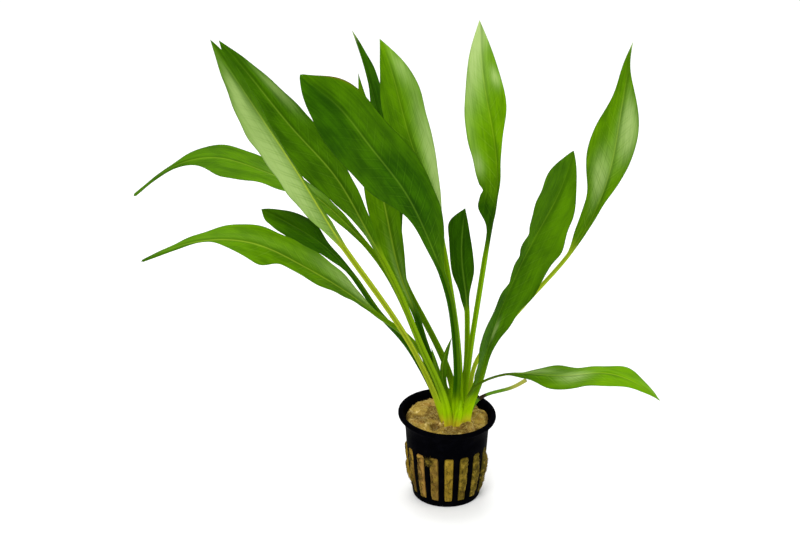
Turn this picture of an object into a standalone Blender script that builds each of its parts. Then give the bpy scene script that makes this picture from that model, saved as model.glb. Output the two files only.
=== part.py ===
"""A potted echinodorus: a rosette of sword-shaped leaves in a black net pot of mineral wool.

Metres, +Z up. The origin is the centre of the pot's underside, and -Y is the plant's front.
Sizes below are in millimetres, and each piece is scaled to metres when it is made.
"""

import math

import bpy
import numpy as np

MM = 0.001
GAP = 0.3  # clear space between two pieces that touch

# The pot
RIM_RADIUS = 28.0
POT_HEIGHT = 51.0
BASE_RADIUS = 18.4
FLOOR = 1.8
SLOTS = 16
SLOT_TURN = 2.0  # degrees by which the front slot stands to the right of the middle
SLOT_FOOT, SLOT_HEAD = 3.4, 33.0
SLOT_WIDTH_FOOT, SLOT_WIDTH_HEAD = 4.2, 5.2
SLOT_ARCH = 0.6  # how far the rounded ends of a slot reach beyond its corners
BASE_SLOT_EVERY = 2  # every second side slot has a slot in the base below it
# The soft collar has bent: its rim is lifted, and rises to the left and to the back, per millimetre
BEND_FOOT = 34.0
RIM_LIFT, RISE_TO_LEFT, RISE_TO_BACK = 0.8, 0.035, 0.045

# The pot's outer and inner walls, as radius and height, from the middle of its floor to its rim
POT_WALLS = [
    ((7.0, 0.0), (7.0, FLOOR)),
    ((14.5, 0.0), (14.5, FLOOR)),
    ((BASE_RADIUS, 0.0), (BASE_RADIUS - 1.0, FLOOR)),
    ((19.3, 1.0), (18.1, 2.4)),
    ((19.8, SLOT_FOOT), (18.5, SLOT_FOOT)),
    ((21.0, 10.0), (19.6, 10.0)),
    ((22.4, 21.0), (21.0, 21.0)),
    ((23.3, SLOT_HEAD), (21.9, SLOT_HEAD)),
    ((23.8, 41.0), (22.4, 41.0)),
    ((24.3, 43.6), (23.1, 43.6)),
    ((25.3, 46.8), (24.0, 47.0)),
    ((27.2, 48.2), (24.6, 49.0)),
    ((RIM_RADIUS, 49.2), (25.0, 50.2)),
    ((RIM_RADIUS, 50.4), (25.6, POT_HEIGHT - 0.2)),
    ((27.6, POT_HEIGHT), (26.0, POT_HEIGHT)),
]
BASE_SLOT_ROW = 0
SIDE_SLOT_ROWS = (4, 5, 6)
BASE_ROW = 2  # where the floor turns up into the wall

# The wool
WOOL_LEVEL = 47.2
WOOL_BRIM = 46.5  # where its top meets the pot's wall
HOLLOW_RADIUS = 8.8  # the hollow that the stems stand in
HOLLOW_FOOT_RADIUS = 7.6
# Lumps and dips of the wool's top: place across and back, rise, and reach
WOOL_LUMPS = ((-14, 9, 3.0, 9), (19, 4, 2.4, 6), (-13, -9, 1.2, 7), (12, -4, -1.0, 4),
              (-5, -19, 0.8, 6))

# The rootstock in the hollow, and what rises from it
CROWN = (5.2, -6.6)
ROOT_RADIUS = 5.4
ROOT_FOOT, ROOT_HEAD = 38.0, 43.2
STEM_WIDTH, STEM_DEPTH = 3.8, 2.5
STEM_FOOT = 0.58  # a stem's thickness at the crown, as a share of its full thickness
STEM_SWELLS = 40.0  # the length over which it grows to its full thickness
BLADE_THICKNESS = 0.8
STALK_THICKNESS = 2.0
STALK_ROUTE = [(11.4, -5, 44), (13, -4.4, 52.4), (17, -3, 60.3), (24.5, -2, 64.3), (36, -4, 68.8),
               (44, -6, 74.6)]

# The light comes from the front and above, and the leaves turn their faces to it.
LIGHT = np.array([0.0, -0.92, 0.39]) / math.hypot(0.92, 0.39)

# Each leaf: route, the points that its stem and midrib run through, from the crown to the tip;
# stalk, the share of that way before the blade; left and right, the widths of the blade's halves;
# turn, the degrees that its face is turned from the light, and fold, the degrees that its halves
# are raised; wave, the height and number of the ripples along its edges; and colour. Some also
# have stem, how wide the stem is, and foot, how wide it is at the crown, both as shares of the
# usual width. The lists of widths and degrees are given evenly from the blade's foot to its tip.
LEAVES = {
    "leaf_far_left": dict(
        route=[(2.4, -3.8, 44), (-4.8, -0.8, 60), (-12, 6, 80), (-22.5, 12, 107), (-36, 22, 131),
               (-58, 32, 155), (-80, 39, 172), (-105, 44, 182), (-133, 46, 189),
               (-157, 44, 183), (-178, 40, 168)],
        stalk=0.42, left=(0, 4.4, 9.6, 13, 13, 15.4, 3.5, 1.8, 0),
        right=(0, 3.6, 8.4, 13, 14.6, 13.4, 8.8, 2.5, 0),
        turn=(40, 60, 60, 46, 96), fold=(4, 0, -4, -2, 0), wave=(0.8, 2), colour="dark"),
    "leaf_left_pale": dict(
        route=[(0, -8.2, 44), (-5, -9, 62), (-12, -13, 82), (-24, -21, 110), (-41, -33, 143),
               (-61, -44, 179), (-78, -54, 214), (-101, -64, 257), (-119, -68, 289)],
        stalk=0.5, left=(0, 4.5, 8.5, 11, 11.9, 11.7, 8.7, 4.9, 0),
        right=(0, 6, 10, 12, 12, 11, 9, 6, 0),
        turn=(-28, -46, -50, -42, -10), fold=(34, 34, 20), wave=(0.6, 2), colour="bright"),
    "leaf_left_behind": dict(
        route=[(1.1, -10.2, 44), (-0.8, -13, 60), (-6.5, -17, 80), (-15, -19, 101),
               (-25, -20, 128), (-34, -20, 149), (-44, -18, 168), (-62, -14, 200),
               (-82, -9, 222), (-107, -4, 253), (-122, 0, 270)],
        stalk=0.44, left=(0, 2, 9, 15.8, 18, 16.6, 14, 9, 0),
        right=(0, 4, 6.5, 8.8, 10.8, 11, 8.6, 4.8, 0),
        turn=(20, 34, 25, 20), fold=(10, 10), wave=(0.8, 2), colour="dark", foot=0.95),
    "leaf_front_dark": dict(
        route=[(5, -8.8, 44), (4.5, -10.2, 58), (5, -13, 76), (4, -19, 99), (0, -27, 133),
               (-10, -39, 168), (-25, -54, 206), (-43, -68, 236), (-61, -78, 262),
               (-70.4, -79.6, 270.3), (-75.1, -80, 274.9)],
        stalk=0.42, left=(0, 2.5, 5, 10, 15, 16.4, 17.6, 14, 0),
        right=(0, 6.4, 12, 13.8, 15.6, 14.6, 13.2, 11, 0),
        turn=(0, 5, 5), fold=(10, 10), wave=(0.6, 2), colour="dark"),
    "leaf_back_narrow": dict(
        route=[(4.6, -2.2, 44), (3.5, 6, 62), (-6, 17, 86), (-16, 28, 102), (-26, 38, 121),
               (-30, 50, 152), (-35, 60, 186), (-42, 66, 219), (-54, 72, 256)],
        stalk=0.42, left=(0, 3, 6, 8, 9, 7.6, 2.8, 0.2, 0),
        right=(0, 3, 6, 8, 8, 6.5, 7, 4.5, 0),
        turn=(20, 40, 40), fold=(14, 14), wave=(0.8, 2), colour="dark"),
    "leaf_back_bright": dict(
        route=[(8.1, -6.4, 44), (6.8, -3, 62), (6.4, 2, 80), (4.6, 5, 101), (0.6, 10, 127),
               (-5, 16, 156), (-14, 24, 185), (-23, 30, 211), (-31, 34, 241), (-38, 36, 261)],
        stalk=0.46, left=(0, 2, 4, 7, 10, 12, 11, 6.2, 0),
        right=(0, 2.6, 6.4, 9.6, 12, 12.5, 12.5, 7.8, 0),
        turn=(0, 10, 10), fold=(14, 14), wave=(0.8, 2), colour="bright"),
    "leaf_middle_back": dict(
        route=[(5.4, -4.6, 44), (-0.6, 2.2, 62), (-12, 7, 89), (-18, 10, 108), (-25, 14, 125),
               (-33, 22, 156), (-39, 30, 184), (-45, 36, 215), (-50, 42, 240)],
        stalk=0.32, left=(0, 3, 6.5, 9, 10, 8.5, 6.5, 3.5, 0),
        right=(0, 1.2, 5, 7, 8.5, 8.5, 7, 2.6, 0),
        turn=(0, 0), fold=(14, 14), wave=(0.8, 2), colour="bright"),
    "leaf_small_upright": dict(
        route=[(7.2, -2.6, 44), (8.3, 3, 58), (10.6, 8, 73), (11.4, 14, 93), (10.8, 19, 113),
               (8, 26, 137), (10, 34, 163)],
        stalk=0.52, left=(0, 2, 4, 6.4, 7, 7.4, 8.2, 7.6, 0),
        right=(0, 1, 3.5, 6.4, 7, 6.4, 4.8, 2.7, 0),
        turn=(0, 0), fold=(20, 20), wave=(0.3, 2), colour="dark", stem=0.85),
    "leaf_tall": dict(
        route=[(9.2, -4.3, 44), (11, 0, 60), (12.2, 4, 75), (14.8, 8, 97), (17.8, 12, 117),
               (23, 18, 151), (27, 23, 184), (23, 27, 217), (18, 29, 245), (16, 30, 273)],
        stalk=0.42, left=(0, 1.6, 7.6, 12.4, 14.6, 13.6, 10, 6, 0),
        right=(0, 3.6, 5, 4.4, 6.2, 10.6, 9.8, 6.2, 0),
        turn=(-50, -50, -28, -6, 0), fold=(28, 32, 20, 10, 10), wave=(0.8, 2), colour="bright"),
    "leaf_right_wavy": dict(
        route=[(8.9, -9.6, 44), (10.6, -10.6, 58), (15, -13, 72), (20, -18, 93), (25, -23, 116),
               (34, -29, 145), (44, -35, 172), (55, -40, 198), (62, -44, 224)],
        stalk=0.2, left=(0, 5.2, 8, 9.4, 9.4, 7.8, 6, 5.4, 5.6, 6.4, 7.6, 9.6, 11.2, 12.6, 12.8, 10, 0),
        right=(0, 0.6, 2.2, 5, 8, 11, 13, 14.6, 15.8, 16.4, 16.4, 15.4, 13.4, 10.6, 7.4, 4.4, 0),
        turn=(40, 36, 24), fold=(22, 18, 14), wave=(1.2, 5), colour="dark", stem=1.35, foot=1.0),
    "leaf_far_right": dict(
        route=[(10.7, -7, 44), (12.8, -3.8, 64), (16.2, 1, 82), (28.5, 7, 97), (49, 14, 119),
               (68, 20, 140), (82, 26, 163), (91, 31, 190), (95, 34, 218), (100, 34, 260)],
        stalk=0.48, left=(0, 5.4, 7.6, 12, 15, 12.4, 6.2, 3.8, 0),
        right=(0, 1.8, 3.4, 7.6, 10.8, 11.5, 7.6, 1.4, 0),
        turn=(-45, -35, -10, -5, 0), fold=(14, 14), wave=(1.2, 3), colour="bright", stem=0.75),
    "leaf_right_low": dict(
        route=[(6.3, -11.7, 44), (8, -13.6, 58), (14, -19, 76), (24, -25, 85.5), (38, -34, 92.6),
               (61, -48, 98), (84, -62, 106), (99, -70, 103), (109, -76, 97)],
        stalk=0.38, left=(0, 1, 9.6, 10, 8, 8.4, 11.8, 8.6, 0),
        right=(0, 4, 7, 11, 12, 13, 10.5, 5.5, 0),
        turn=(-58, -62, -66), fold=(-4, -4), wave=(1.0, 2), colour="bright", stem=0.45),
    "leaf_left_low": dict(
        route=[(3.4, -6.4, 44), (-2, -5, 60), (-10, -2, 80), (-24, -5, 102), (-37, -9, 114),
               (-55, -18, 133), (-82, -34, 158), (-105, -46, 174), (-133, -56, 178),
               (-160, -62, 170)],
        stalk=0.36, left=(0, 5.7, 10.3, 9.8, 7.8, 15.4, 2.2, 2.2, 0),
        right=(0, 6.4, 12.4, 13, 11.6, 12, 8.8, 4.4, 0),
        turn=(64, 55, 46, 50, 74), fold=(16, 14, 8, 2, 0), wave=(1.0, 2), colour="bright"),
    "leaf_left_short": dict(
        route=[(0.8, -5.9, 44), (-4.6, -4.4, 58), (-16.2, 0, 82), (-27, 5, 97), (-37, 9, 107),
               (-51, 15, 126), (-66, 21, 142), (-83, 26, 153), (-105, 30, 164)],
        stalk=0.6, left=(0, 1, 2.2, 3.6, 5, 6.2, 7.4, 9, 10.6, 12, 12.6, 12.4, 11.8, 10.6, 9, 7, 0),
        right=(0, 0.6, 1.2, 1.8, 2.4, 3.2, 4.4, 6.2, 8.8, 11.2, 12.6, 12.8, 11.8, 9.8, 7.4, 4.6, 0),
        turn=(45, 50, 55), fold=(0, 0), wave=(0.5, 2), colour="dark"),
    "young_leaf": dict(
        route=[(5.8, -6.8, 44), (1.6, -6.6, 58), (-2, -5, 70), (-3, -3, 81), (-1, -3, 91),
               (2, -4, 100)],
        stalk=0.35, left=(0, 1, 1.5, 1.6, 1.4, 0.9, 0),
        right=(0, 1.2, 2, 2.4, 2, 1.2, 0), turn=(20, 30), fold=(25, 15),
        wave=(0.0, 1), colour="young", stem=0.7, rings=(4, 7)),
    "young_shoot": dict(
        route=[(2.6, -8.4, 44), (-0.6, -8.9, 59), (-4, -10, 73), (-7, -11, 86), (-9.5, -12, 98)],
        stalk=0.2, left=(0, 1.4, 2, 2, 1.6, 1, 0),
        right=(0, 1.4, 2, 2, 1.6, 1, 0), turn=(20, 10), fold=(30, 20),
        wave=(0.0, 1), colour="young", stem=0.8, rings=(4, 7)),
    "base_sheath": dict(
        route=[(4.4, -11, 44), (5, -13.4, 52), (6.4, -15.6, 61), (7.2, -17, 68)],
        stalk=0.1, left=(0, 1.8, 2.2, 1.6, 0),
        right=(0, 1.8, 2.2, 1.6, 0), turn=(10, 10), fold=(25, 25),
        wave=(0.0, 1), colour="young", stem=0.75, foot=0.8, rings=(3, 6)),
}


def clear_scene():
    for item in list(bpy.data.objects):
        bpy.data.objects.remove(item, do_unlink=True)


def finish(name, colour, roughness):
    """A Principled BSDF material of one colour."""
    material = bpy.data.materials.new(name)
    material.use_nodes = True
    shader = material.node_tree.nodes["Principled BSDF"]
    shader.inputs["Base Color"].default_value = (*colour, 1)
    shader.inputs["Roughness"].default_value = roughness
    shader.inputs["Metallic"].default_value = 0
    return material


def piece(name, points, faces, material):
    """An object at the origin from points in millimetres."""
    mesh = bpy.data.meshes.new(name)
    mesh.from_pydata((np.asarray(points) * MM).tolist(), [], faces)
    mesh.shade_smooth()
    mesh.set_sharp_from_angle(angle=math.radians(50))
    mesh.materials.append(material)
    bpy.context.collection.objects.link(bpy.data.objects.new(name, mesh))


def ring_faces(count, around):
    """Four-sided faces between rings of points that run anticlockwise, seen along the way."""
    faces = []
    for ring in range(count - 1):
        for i in range(around):
            j = (i + 1) % around
            first, second = ring * around, (ring + 1) * around
            faces.append((first + j, first + i, second + i, second + j))
    return faces


def blade_faces(count, around):
    """Ring faces split into triangles, alike above and below, so that a thin blade can twist."""
    faces = []
    for ring in range(count - 1):
        for i in range(around):
            j = (i + 1) % around
            first, second = ring * around, (ring + 1) * around
            if i < around // 2:
                faces += [(first + j, first + i, second + j), (first + i, second + i, second + j)]
            else:
                faces += [(first + j, first + i, second + i), (first + j, second + i, second + j)]
    return faces


def cubic(knots, values, place):
    """A natural cubic curve through the values at their knots, read at each place."""
    gaps, count = np.diff(knots), len(knots)
    system, pull = np.eye(count), np.zeros_like(values)
    for i in range(1, count - 1):
        system[i, i - 1 : i + 2] = gaps[i - 1], 2 * (gaps[i - 1] + gaps[i]), gaps[i]
        rise = (values[i + 1] - values[i]) / gaps[i]
        pull[i] = 6 * (rise - (values[i] - values[i - 1]) / gaps[i - 1])
    bend = np.linalg.solve(system, pull)
    i = np.clip(np.searchsorted(knots, place, side="right") - 1, 0, count - 2)
    gap = gaps[i][:, None]
    left, right = (knots[i + 1] - place)[:, None], (place - knots[i])[:, None]
    curved = (bend[i] * left**3 + bend[i + 1] * right**3) / (6 * gap)
    straight = (values[i] / gap - bend[i] * gap / 6) * left
    return curved + straight + (values[i + 1] / gap - bend[i + 1] * gap / 6) * right


def along_route(route, share):
    """Points at the given shares of the smooth way through the route's points."""
    route = np.asarray(route, float)
    steps = np.linalg.norm(np.diff(route, axis=0), axis=1)
    knots = np.append(0, np.cumsum(steps))
    return cubic(knots, route, share * knots[-1])


def spread(values, share):
    """Values given evenly from the blade's foot to its tip, read at each share of it."""
    values = np.asarray(values, float)[:, None]
    return cubic(np.linspace(0, 1, len(values)), values, share)


def route_length(route):
    return np.linalg.norm(np.diff(route, axis=0), axis=1).sum()


def leaf_axes(route, share, turn):
    """The line of a leaf or stalk, and its directions across and out of its face."""
    step = 1e-3
    ahead, behind = np.clip(share + step, 0, 1), np.clip(share - step, 0, 1)
    along = along_route(route, ahead) - along_route(route, behind)
    along /= np.linalg.norm(along, axis=1)[:, None]
    facing = LIGHT - (along @ LIGHT)[:, None] * along
    facing /= np.linalg.norm(facing, axis=1)[:, None]
    angle = np.radians(turn)
    out = np.cos(angle) * facing + np.sin(angle) * np.cross(along, facing)
    return along_route(route, share), np.cross(along, out), out


def leaf_solid(name, material, route, stalk, left, right, turn, fold, wave, stem=1.0,
               foot=STEM_FOOT, rings=(6, 16)):
    """An oval stem that flattens into a lens-shaped blade, as rings of points, and its tip.

    The blade's halves have widths of their own. They are raised by the fold, and the edges rise
    and fall with the wave.
    """
    around = 8
    stem_rings, blade_rings = rings
    share = np.append(np.linspace(0, stalk, stem_rings)[:-1], np.linspace(stalk, 1, blade_rings))
    blade = np.clip((share - stalk) / (1 - stalk), 0, 1)
    line, side, out = leaf_axes(route, share, spread(turn, blade))
    angle = np.radians(spread(fold, blade))

    round_angle = 2 * np.pi * np.arange(around) / around
    across, over = np.cos(round_angle), np.sin(round_angle)
    halves = np.where(across < 0, spread(left, blade), spread(right, blade)).clip(0)
    blade, share = blade[:, None], share[:, None]
    grown = np.minimum(share * route_length(route) / STEM_SWELLS, 1)
    stem_half = stem * (foot + (1 - foot) * grown) * STEM_WIDTH / 2 * (1 - blade)
    stem_depth = min(stem, 1) * (STEM_FOOT + (1 - STEM_FOOT) * grown) * STEM_DEPTH * (1 - blade)
    half = np.hypot(halves, stem_half)

    flatness = np.minimum(5 * blade, 1)
    oval = stem_depth / 2 * over
    midrib = np.abs(oval) * (1 - np.abs(across)) ** 2
    lens = np.abs(BLADE_THICKNESS / 2 * over * (1 - 0.6 * blade))
    depth = oval * (1 - flatness) + np.sign(over) * np.maximum(midrib, lens) * flatness

    height, ripples = wave
    ripple = height * halves / halves.max() * across**2
    ripple = ripple * np.sin(2 * np.pi * ripples * blade + 1.2 * np.sign(across))
    lift = half * np.abs(across) ** 1.2 * np.sin(angle) + ripple + depth
    width_part = (half * across * np.cos(angle))[..., None] * side[:, None]
    surface = line[:, None] + width_part + lift[..., None] * out[:, None]

    count = len(share) - 1
    last, tip = (count - 1) * around, count * around
    points = np.append(surface[:-1].reshape(-1, 3), line[-1:], axis=0)
    faces = [tuple(range(around))] + blade_faces(count, around)
    faces += [(last + (i + 1) % around, last + i, tip) for i in range(around)]
    piece(name, points, faces, material)


def old_stalk(material):
    """The cut stalk of an old leaf: a bent tube, thicker at its cut end."""
    around, count = 8, 9
    share = np.linspace(0, 1, count)
    line, side, out = leaf_axes(STALK_ROUTE, share, np.zeros((count, 1)))
    radius = STALK_THICKNESS / 2 * (0.6 + 0.3 * np.minimum(4 * share, 1) + 0.3 * share**3)
    angle = 2 * np.pi * np.arange(around) / around
    across = (radius[:, None] * np.cos(angle))[..., None] * side[:, None]
    over = (radius[:, None] * np.sin(angle))[..., None] * out[:, None]
    points = (line[:, None] + across + over).reshape(-1, 3)
    last = (count - 1) * around
    faces = [tuple(range(around)), tuple(range(last, last + around))[::-1]]
    piece("old_stalk", points, faces + ring_faces(count, around), material)


def rootstock(material):
    """The short crown that the leaves grow from: a solid turned about its upright line."""
    profile = ((0.65 * ROOT_RADIUS, ROOT_HEAD), (ROOT_RADIUS, ROOT_HEAD - 1),
               (0.96 * ROOT_RADIUS, 40.0), (0.55 * ROOT_RADIUS, ROOT_FOOT))
    around = 12
    x, y = CROWN
    points = []
    for radius, height in profile:
        for i in range(around):
            angle = 2 * math.pi * i / around
            points.append((x + radius * math.cos(angle), y + radius * math.sin(angle), height))
    last = (len(profile) - 1) * around
    faces = [tuple(range(around)), tuple(range(last, last + around))[::-1]]
    piece("rootstock", points, faces + ring_faces(len(profile), around), material)


def wall_radius(wall, height):
    """The radius of the pot's outer wall, 0, or its inner wall, 1, at a height."""
    walls = [pair[wall] for pair in POT_WALLS[BASE_ROW:-1]]
    return float(np.interp(height, [z for _, z in walls], [r for r, _ in walls]))


def bent(x, y, z):
    """A point of the pot or the wool, moved with the bent collar."""
    share = min(max((z - BEND_FOOT) / (POT_HEIGHT - BEND_FOOT), 0), 1)
    rise = share * share * (3 - 2 * share)
    return x, y, z + rise * (RIM_LIFT - RISE_TO_LEFT * x + RISE_TO_BACK * y)


def slot_middle(number):
    return math.radians(-90 + SLOT_TURN) + number * 2 * math.pi / SLOTS


def slot_half_angle(height):
    """Half the angle that a slot takes up, seen from the pot's axis."""
    share = min(max((height - SLOT_FOOT) / (SLOT_HEAD - SLOT_FOOT), 0), 1)
    width = SLOT_WIDTH_FOOT + (SLOT_WIDTH_HEAD - SLOT_WIDTH_FOOT) * share
    return width / 2 / wall_radius(0, height)


def net_pot(material):
    """The two walls as one grid, three columns to a slot and its bar, left open at the slots."""
    rows, columns = len(POT_WALLS), 3 * SLOTS
    arches = {SLOT_FOOT: -SLOT_ARCH, SLOT_HEAD: SLOT_ARCH}
    points = []
    for wall in (0, 1):
        for pair in POT_WALLS:
            radius, height = pair[wall]
            for number in range(SLOTS):
                for part in (-1, 0, 1):
                    angle = slot_middle(number) + part * slot_half_angle(height)
                    arch = arches.get(height, 0) if part == 0 else 0
                    points.append(bent(radius * math.cos(angle), radius * math.sin(angle),
                                       height + arch))
    middle = len(points)
    points += [(0, 0, 0), (0, 0, FLOOR)]

    def place(wall, row, column):
        return (wall * rows + row) * columns + column % columns

    def is_open(row, column):
        if row == BASE_SLOT_ROW:
            return column % (3 * BASE_SLOT_EVERY) in (0, 1)
        return row in SIDE_SLOT_ROWS and column % 3 in (0, 1)

    faces = []
    top = rows - 1
    for column in range(columns):
        after = column + 1
        faces.append((middle, place(0, 0, after), place(0, 0, column)))
        faces.append((middle + 1, place(1, 0, column), place(1, 0, after)))
        faces.append((place(0, top, column), place(0, top, after),
                      place(1, top, after), place(1, top, column)))
        if is_open(0, column):
            faces.append((place(0, 0, column), place(0, 0, after),
                          place(1, 0, after), place(1, 0, column)))
        for row in range(rows - 1):
            if is_open(row, column):
                continue
            above = row + 1
            outer = (place(0, row, column), place(0, row, after),
                     place(0, above, after), place(0, above, column))
            inner = (place(1, row, column), place(1, row, after),
                     place(1, above, after), place(1, above, column))
            faces += [outer, inner[::-1]]
            if is_open(row, column + 1):
                faces.append((outer[1], inner[1], inner[2], outer[2]))
            if is_open(row, column - 1):
                faces.append((inner[0], outer[0], outer[3], inner[3]))
            if is_open(above, column):
                faces.append((outer[3], outer[2], inner[2], inner[3]))
            if row and is_open(row - 1, column):
                faces.append((inner[0], inner[1], outer[1], outer[0]))
    piece("net_pot", points, faces, material)


def wool_height(x, y):
    """The height of the wool's top: its level, raised or lowered smoothly at each lump."""
    height = WOOL_LEVEL
    for lump_x, lump_y, rise, reach in WOOL_LUMPS:
        away = math.hypot(x - lump_x, y - lump_y) / reach
        height += rise * math.exp(-away * away)
    return height


def wool_side(number, part, height, pressed_out):
    """A point on the wool's side, where part runs across a slot from -2 to 2.

    It keeps clear of the slot's edges, and swells in the slot's middle.
    """
    clear_of_edge = {0: 0.0, 1: 0.55, 2: 0.35}[abs(part)]
    radius = wall_radius(1, height) - GAP
    angle = slot_middle(number)
    if part:
        angle += math.copysign(slot_half_angle(height) - clear_of_edge / radius, part)
    if pressed_out and abs(part) < 2:
        swell = 0.2 + 0.2 * math.sin(2.4 * number + 0.19 * height)
        swell += 0.6 * math.sin(math.pi * (height - SLOT_FOOT) / (SLOT_HEAD - SLOT_FOOT))
        radius = wall_radius(0, height) + swell
    return bent(radius * math.cos(angle), radius * math.sin(angle), height)


def mineral_wool(material):
    """One wrap of wool: it fills the pot, presses out through the slots and holds the crown."""
    parts = (-2, -1, 0, 1, 2)
    columns = SLOTS * len(parts)
    bottom = FLOOR + GAP
    sides = [(bottom, False), (SLOT_FOOT + 0.35, False), (SLOT_FOOT + 0.6, True), (19, True),
             (SLOT_HEAD - 0.6, True), (SLOT_HEAD - 0.35, False), (41, False), (WOOL_BRIM, False)]
    rings = [[wool_side(number, part, height, out) for number in range(SLOTS) for part in parts]
             for height, out in sides]
    crown_x, crown_y = CROWN
    brim = rings[-1]

    def round_crown(radius, share=0.0):
        """The brim drawn in to a circle round the crown, but for a share of the way out."""
        ring = []
        for x, y, _ in brim:
            reach = math.hypot(x - crown_x, y - crown_y)
            pull = (radius + (reach - radius) * share) / reach
            ring.append((crown_x + (x - crown_x) * pull, crown_y + (y - crown_y) * pull))
        return ring

    for share in (0.9, 0.5, 0.0):
        rings.append([bent(x, y, wool_height(x, y))
                      for x, y in round_crown(HOLLOW_RADIUS, share)])
    well = ROOT_RADIUS + GAP
    for radius, height in ((HOLLOW_FOOT_RADIUS, ROOT_HEAD - GAP), (well, ROOT_HEAD - GAP),
                           (well, ROOT_FOOT - GAP)):
        rings.append([(x, y, height) for x, y in round_crown(radius)])

    points = [point for ring in rings for point in ring]
    under, centre = len(points), len(points) + 1
    points += [(0, 0, bottom), (crown_x, crown_y, ROOT_FOOT - GAP)]
    last = (len(rings) - 1) * columns
    faces = [face[::-1] for face in ring_faces(len(rings), columns)]
    for i in range(columns):
        j = (i + 1) % columns
        faces += [(under, j, i), (last + i, last + j, centre)]
    piece("mineral_wool", points, faces, material)


def main():
    clear_scene()
    leaf_colours = {
        "dark": finish("leaf dark green", (0.035, 0.14, 0.01), 0.4),
        "bright": finish("leaf bright green", (0.10, 0.28, 0.015), 0.4),
        "young": finish("young green", (0.30, 0.45, 0.02), 0.4),
    }
    net_pot(finish("black plastic", (0.012, 0.012, 0.014), 0.45))
    mineral_wool(finish("mineral wool", (0.42, 0.29, 0.09), 0.95))
    rootstock(finish("crown yellow", (0.42, 0.42, 0.06), 0.5))
    for name, leaf in LEAVES.items():
        form = {key: value for key, value in leaf.items() if key != "colour"}
        leaf_solid(name, leaf_colours[leaf["colour"]], **form)
    old_stalk(leaf_colours["young"])


main()
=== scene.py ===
# %% [markdown]
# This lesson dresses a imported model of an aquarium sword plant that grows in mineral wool, in a
# black net pot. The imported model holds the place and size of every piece. It is loaded first and
# nothing in it is moved: each new piece is laid where its packed one is.

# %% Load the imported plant
import itertools
import math

import bpy
import numpy as np
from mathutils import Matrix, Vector


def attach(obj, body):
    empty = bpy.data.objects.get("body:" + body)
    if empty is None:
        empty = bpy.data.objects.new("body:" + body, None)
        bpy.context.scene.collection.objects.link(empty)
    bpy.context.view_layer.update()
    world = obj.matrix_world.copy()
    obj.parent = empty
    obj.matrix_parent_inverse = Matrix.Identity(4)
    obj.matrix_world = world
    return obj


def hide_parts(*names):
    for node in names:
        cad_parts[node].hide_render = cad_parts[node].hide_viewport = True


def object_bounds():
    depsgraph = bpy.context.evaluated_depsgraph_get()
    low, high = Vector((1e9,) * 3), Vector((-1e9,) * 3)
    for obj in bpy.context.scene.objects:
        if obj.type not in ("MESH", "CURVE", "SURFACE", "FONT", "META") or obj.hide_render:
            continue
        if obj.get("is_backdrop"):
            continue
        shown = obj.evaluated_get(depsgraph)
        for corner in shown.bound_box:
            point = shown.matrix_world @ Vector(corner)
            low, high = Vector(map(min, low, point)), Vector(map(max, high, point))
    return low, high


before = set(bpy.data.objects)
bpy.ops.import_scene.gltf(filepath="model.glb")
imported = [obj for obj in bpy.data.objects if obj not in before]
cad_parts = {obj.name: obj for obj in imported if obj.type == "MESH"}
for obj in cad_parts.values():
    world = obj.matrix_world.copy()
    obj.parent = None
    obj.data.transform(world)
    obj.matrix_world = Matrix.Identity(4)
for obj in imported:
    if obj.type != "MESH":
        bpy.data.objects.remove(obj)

packed_low, packed_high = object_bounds()
print("packed pieces:", len(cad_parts))
print("packed size in mm:", [round(v * 1000, 1) for v in packed_high - packed_low])

# %% [markdown]
# The camera comes before anything is made, because every look is judged through it. It stands a
# little above the plant and looks down at it. A camera could be aimed with a constraint, but a
# fixed place and angle keeps the picture the same on every run. The plain Standard view keeps
# white paper white and the greens of the leaves strong.

# %% Place the camera
CAMERA_TILT = 67.4  # degrees up from looking straight down
camera = bpy.data.objects.new("studio_camera", bpy.data.cameras.new("studio_camera"))
bpy.context.collection.objects.link(camera)
camera.data.lens, camera.data.sensor_width = 80, 36
camera.location = (-0.0269, -0.9061, 0.5186)
camera.rotation_euler = (math.radians(CAMERA_TILT), 0, 0)
bpy.context.scene.camera = camera
bpy.context.scene.view_settings.view_transform = "Standard"
print("the camera looks down by", round(90 - CAMERA_TILT, 1), "degrees")

# %% [markdown]
# The plant stands on white paper in soft studio light. One wide lamp in front and above does most
# of the work, a second one fills the right side, and a third one overhead gives the waxy leaves
# something bright to mirror. Wide lamps make soft shadows, as a studio's softboxes do.

# %% Set up the softboxes
PLANT_MIDDLE = Vector((0, 0, 0.15))
SOFTBOXES = {"front_softbox": ((-0.55, -1.3, 1.35), 0.9, 19),  # place, size in metres and watts
             "right_softbox": ((1.4, -0.5, 0.8), 0.8, 6),
             "top_softbox": ((-0.1, 0.5, 1.6), 0.9, 13)}
for name, (place, size, watts) in SOFTBOXES.items():
    lamp = bpy.data.lights.new(name, "AREA")
    lamp.energy, lamp.size = watts, size
    holder = bpy.data.objects.new(name, lamp)
    holder.location = place
    holder.rotation_euler = (PLANT_MIDDLE - Vector(place)).to_track_quat("-Z", "Y").to_euler()
    bpy.context.collection.objects.link(holder)

air = bpy.data.worlds.new("studio_air")
air.use_nodes = True
sky = air.node_tree.nodes["Background"].inputs
sky["Color"].default_value, sky["Strength"].default_value = (1, 1, 1, 1), 0.7
bpy.context.scene.world = air
print("softboxes:", len(SOFTBOXES))

# %% [markdown]
# Every finish here is worked out from numbers that change over the surface, such as the distance
# from a leaf's midrib. Blender does such sums with Math nodes, and wiring them by hand is slow to
# read. This small class stands for one such number, so that a sum is written as in Python.

# %% A number that changes over a surface
def sum_method(operation, turned=False):
    """The method behind one of Python's signs, such as +: it adds a Math node for two values."""
    return lambda self, other: self.math(operation, *((other, self) if turned else (self, other)))


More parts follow.
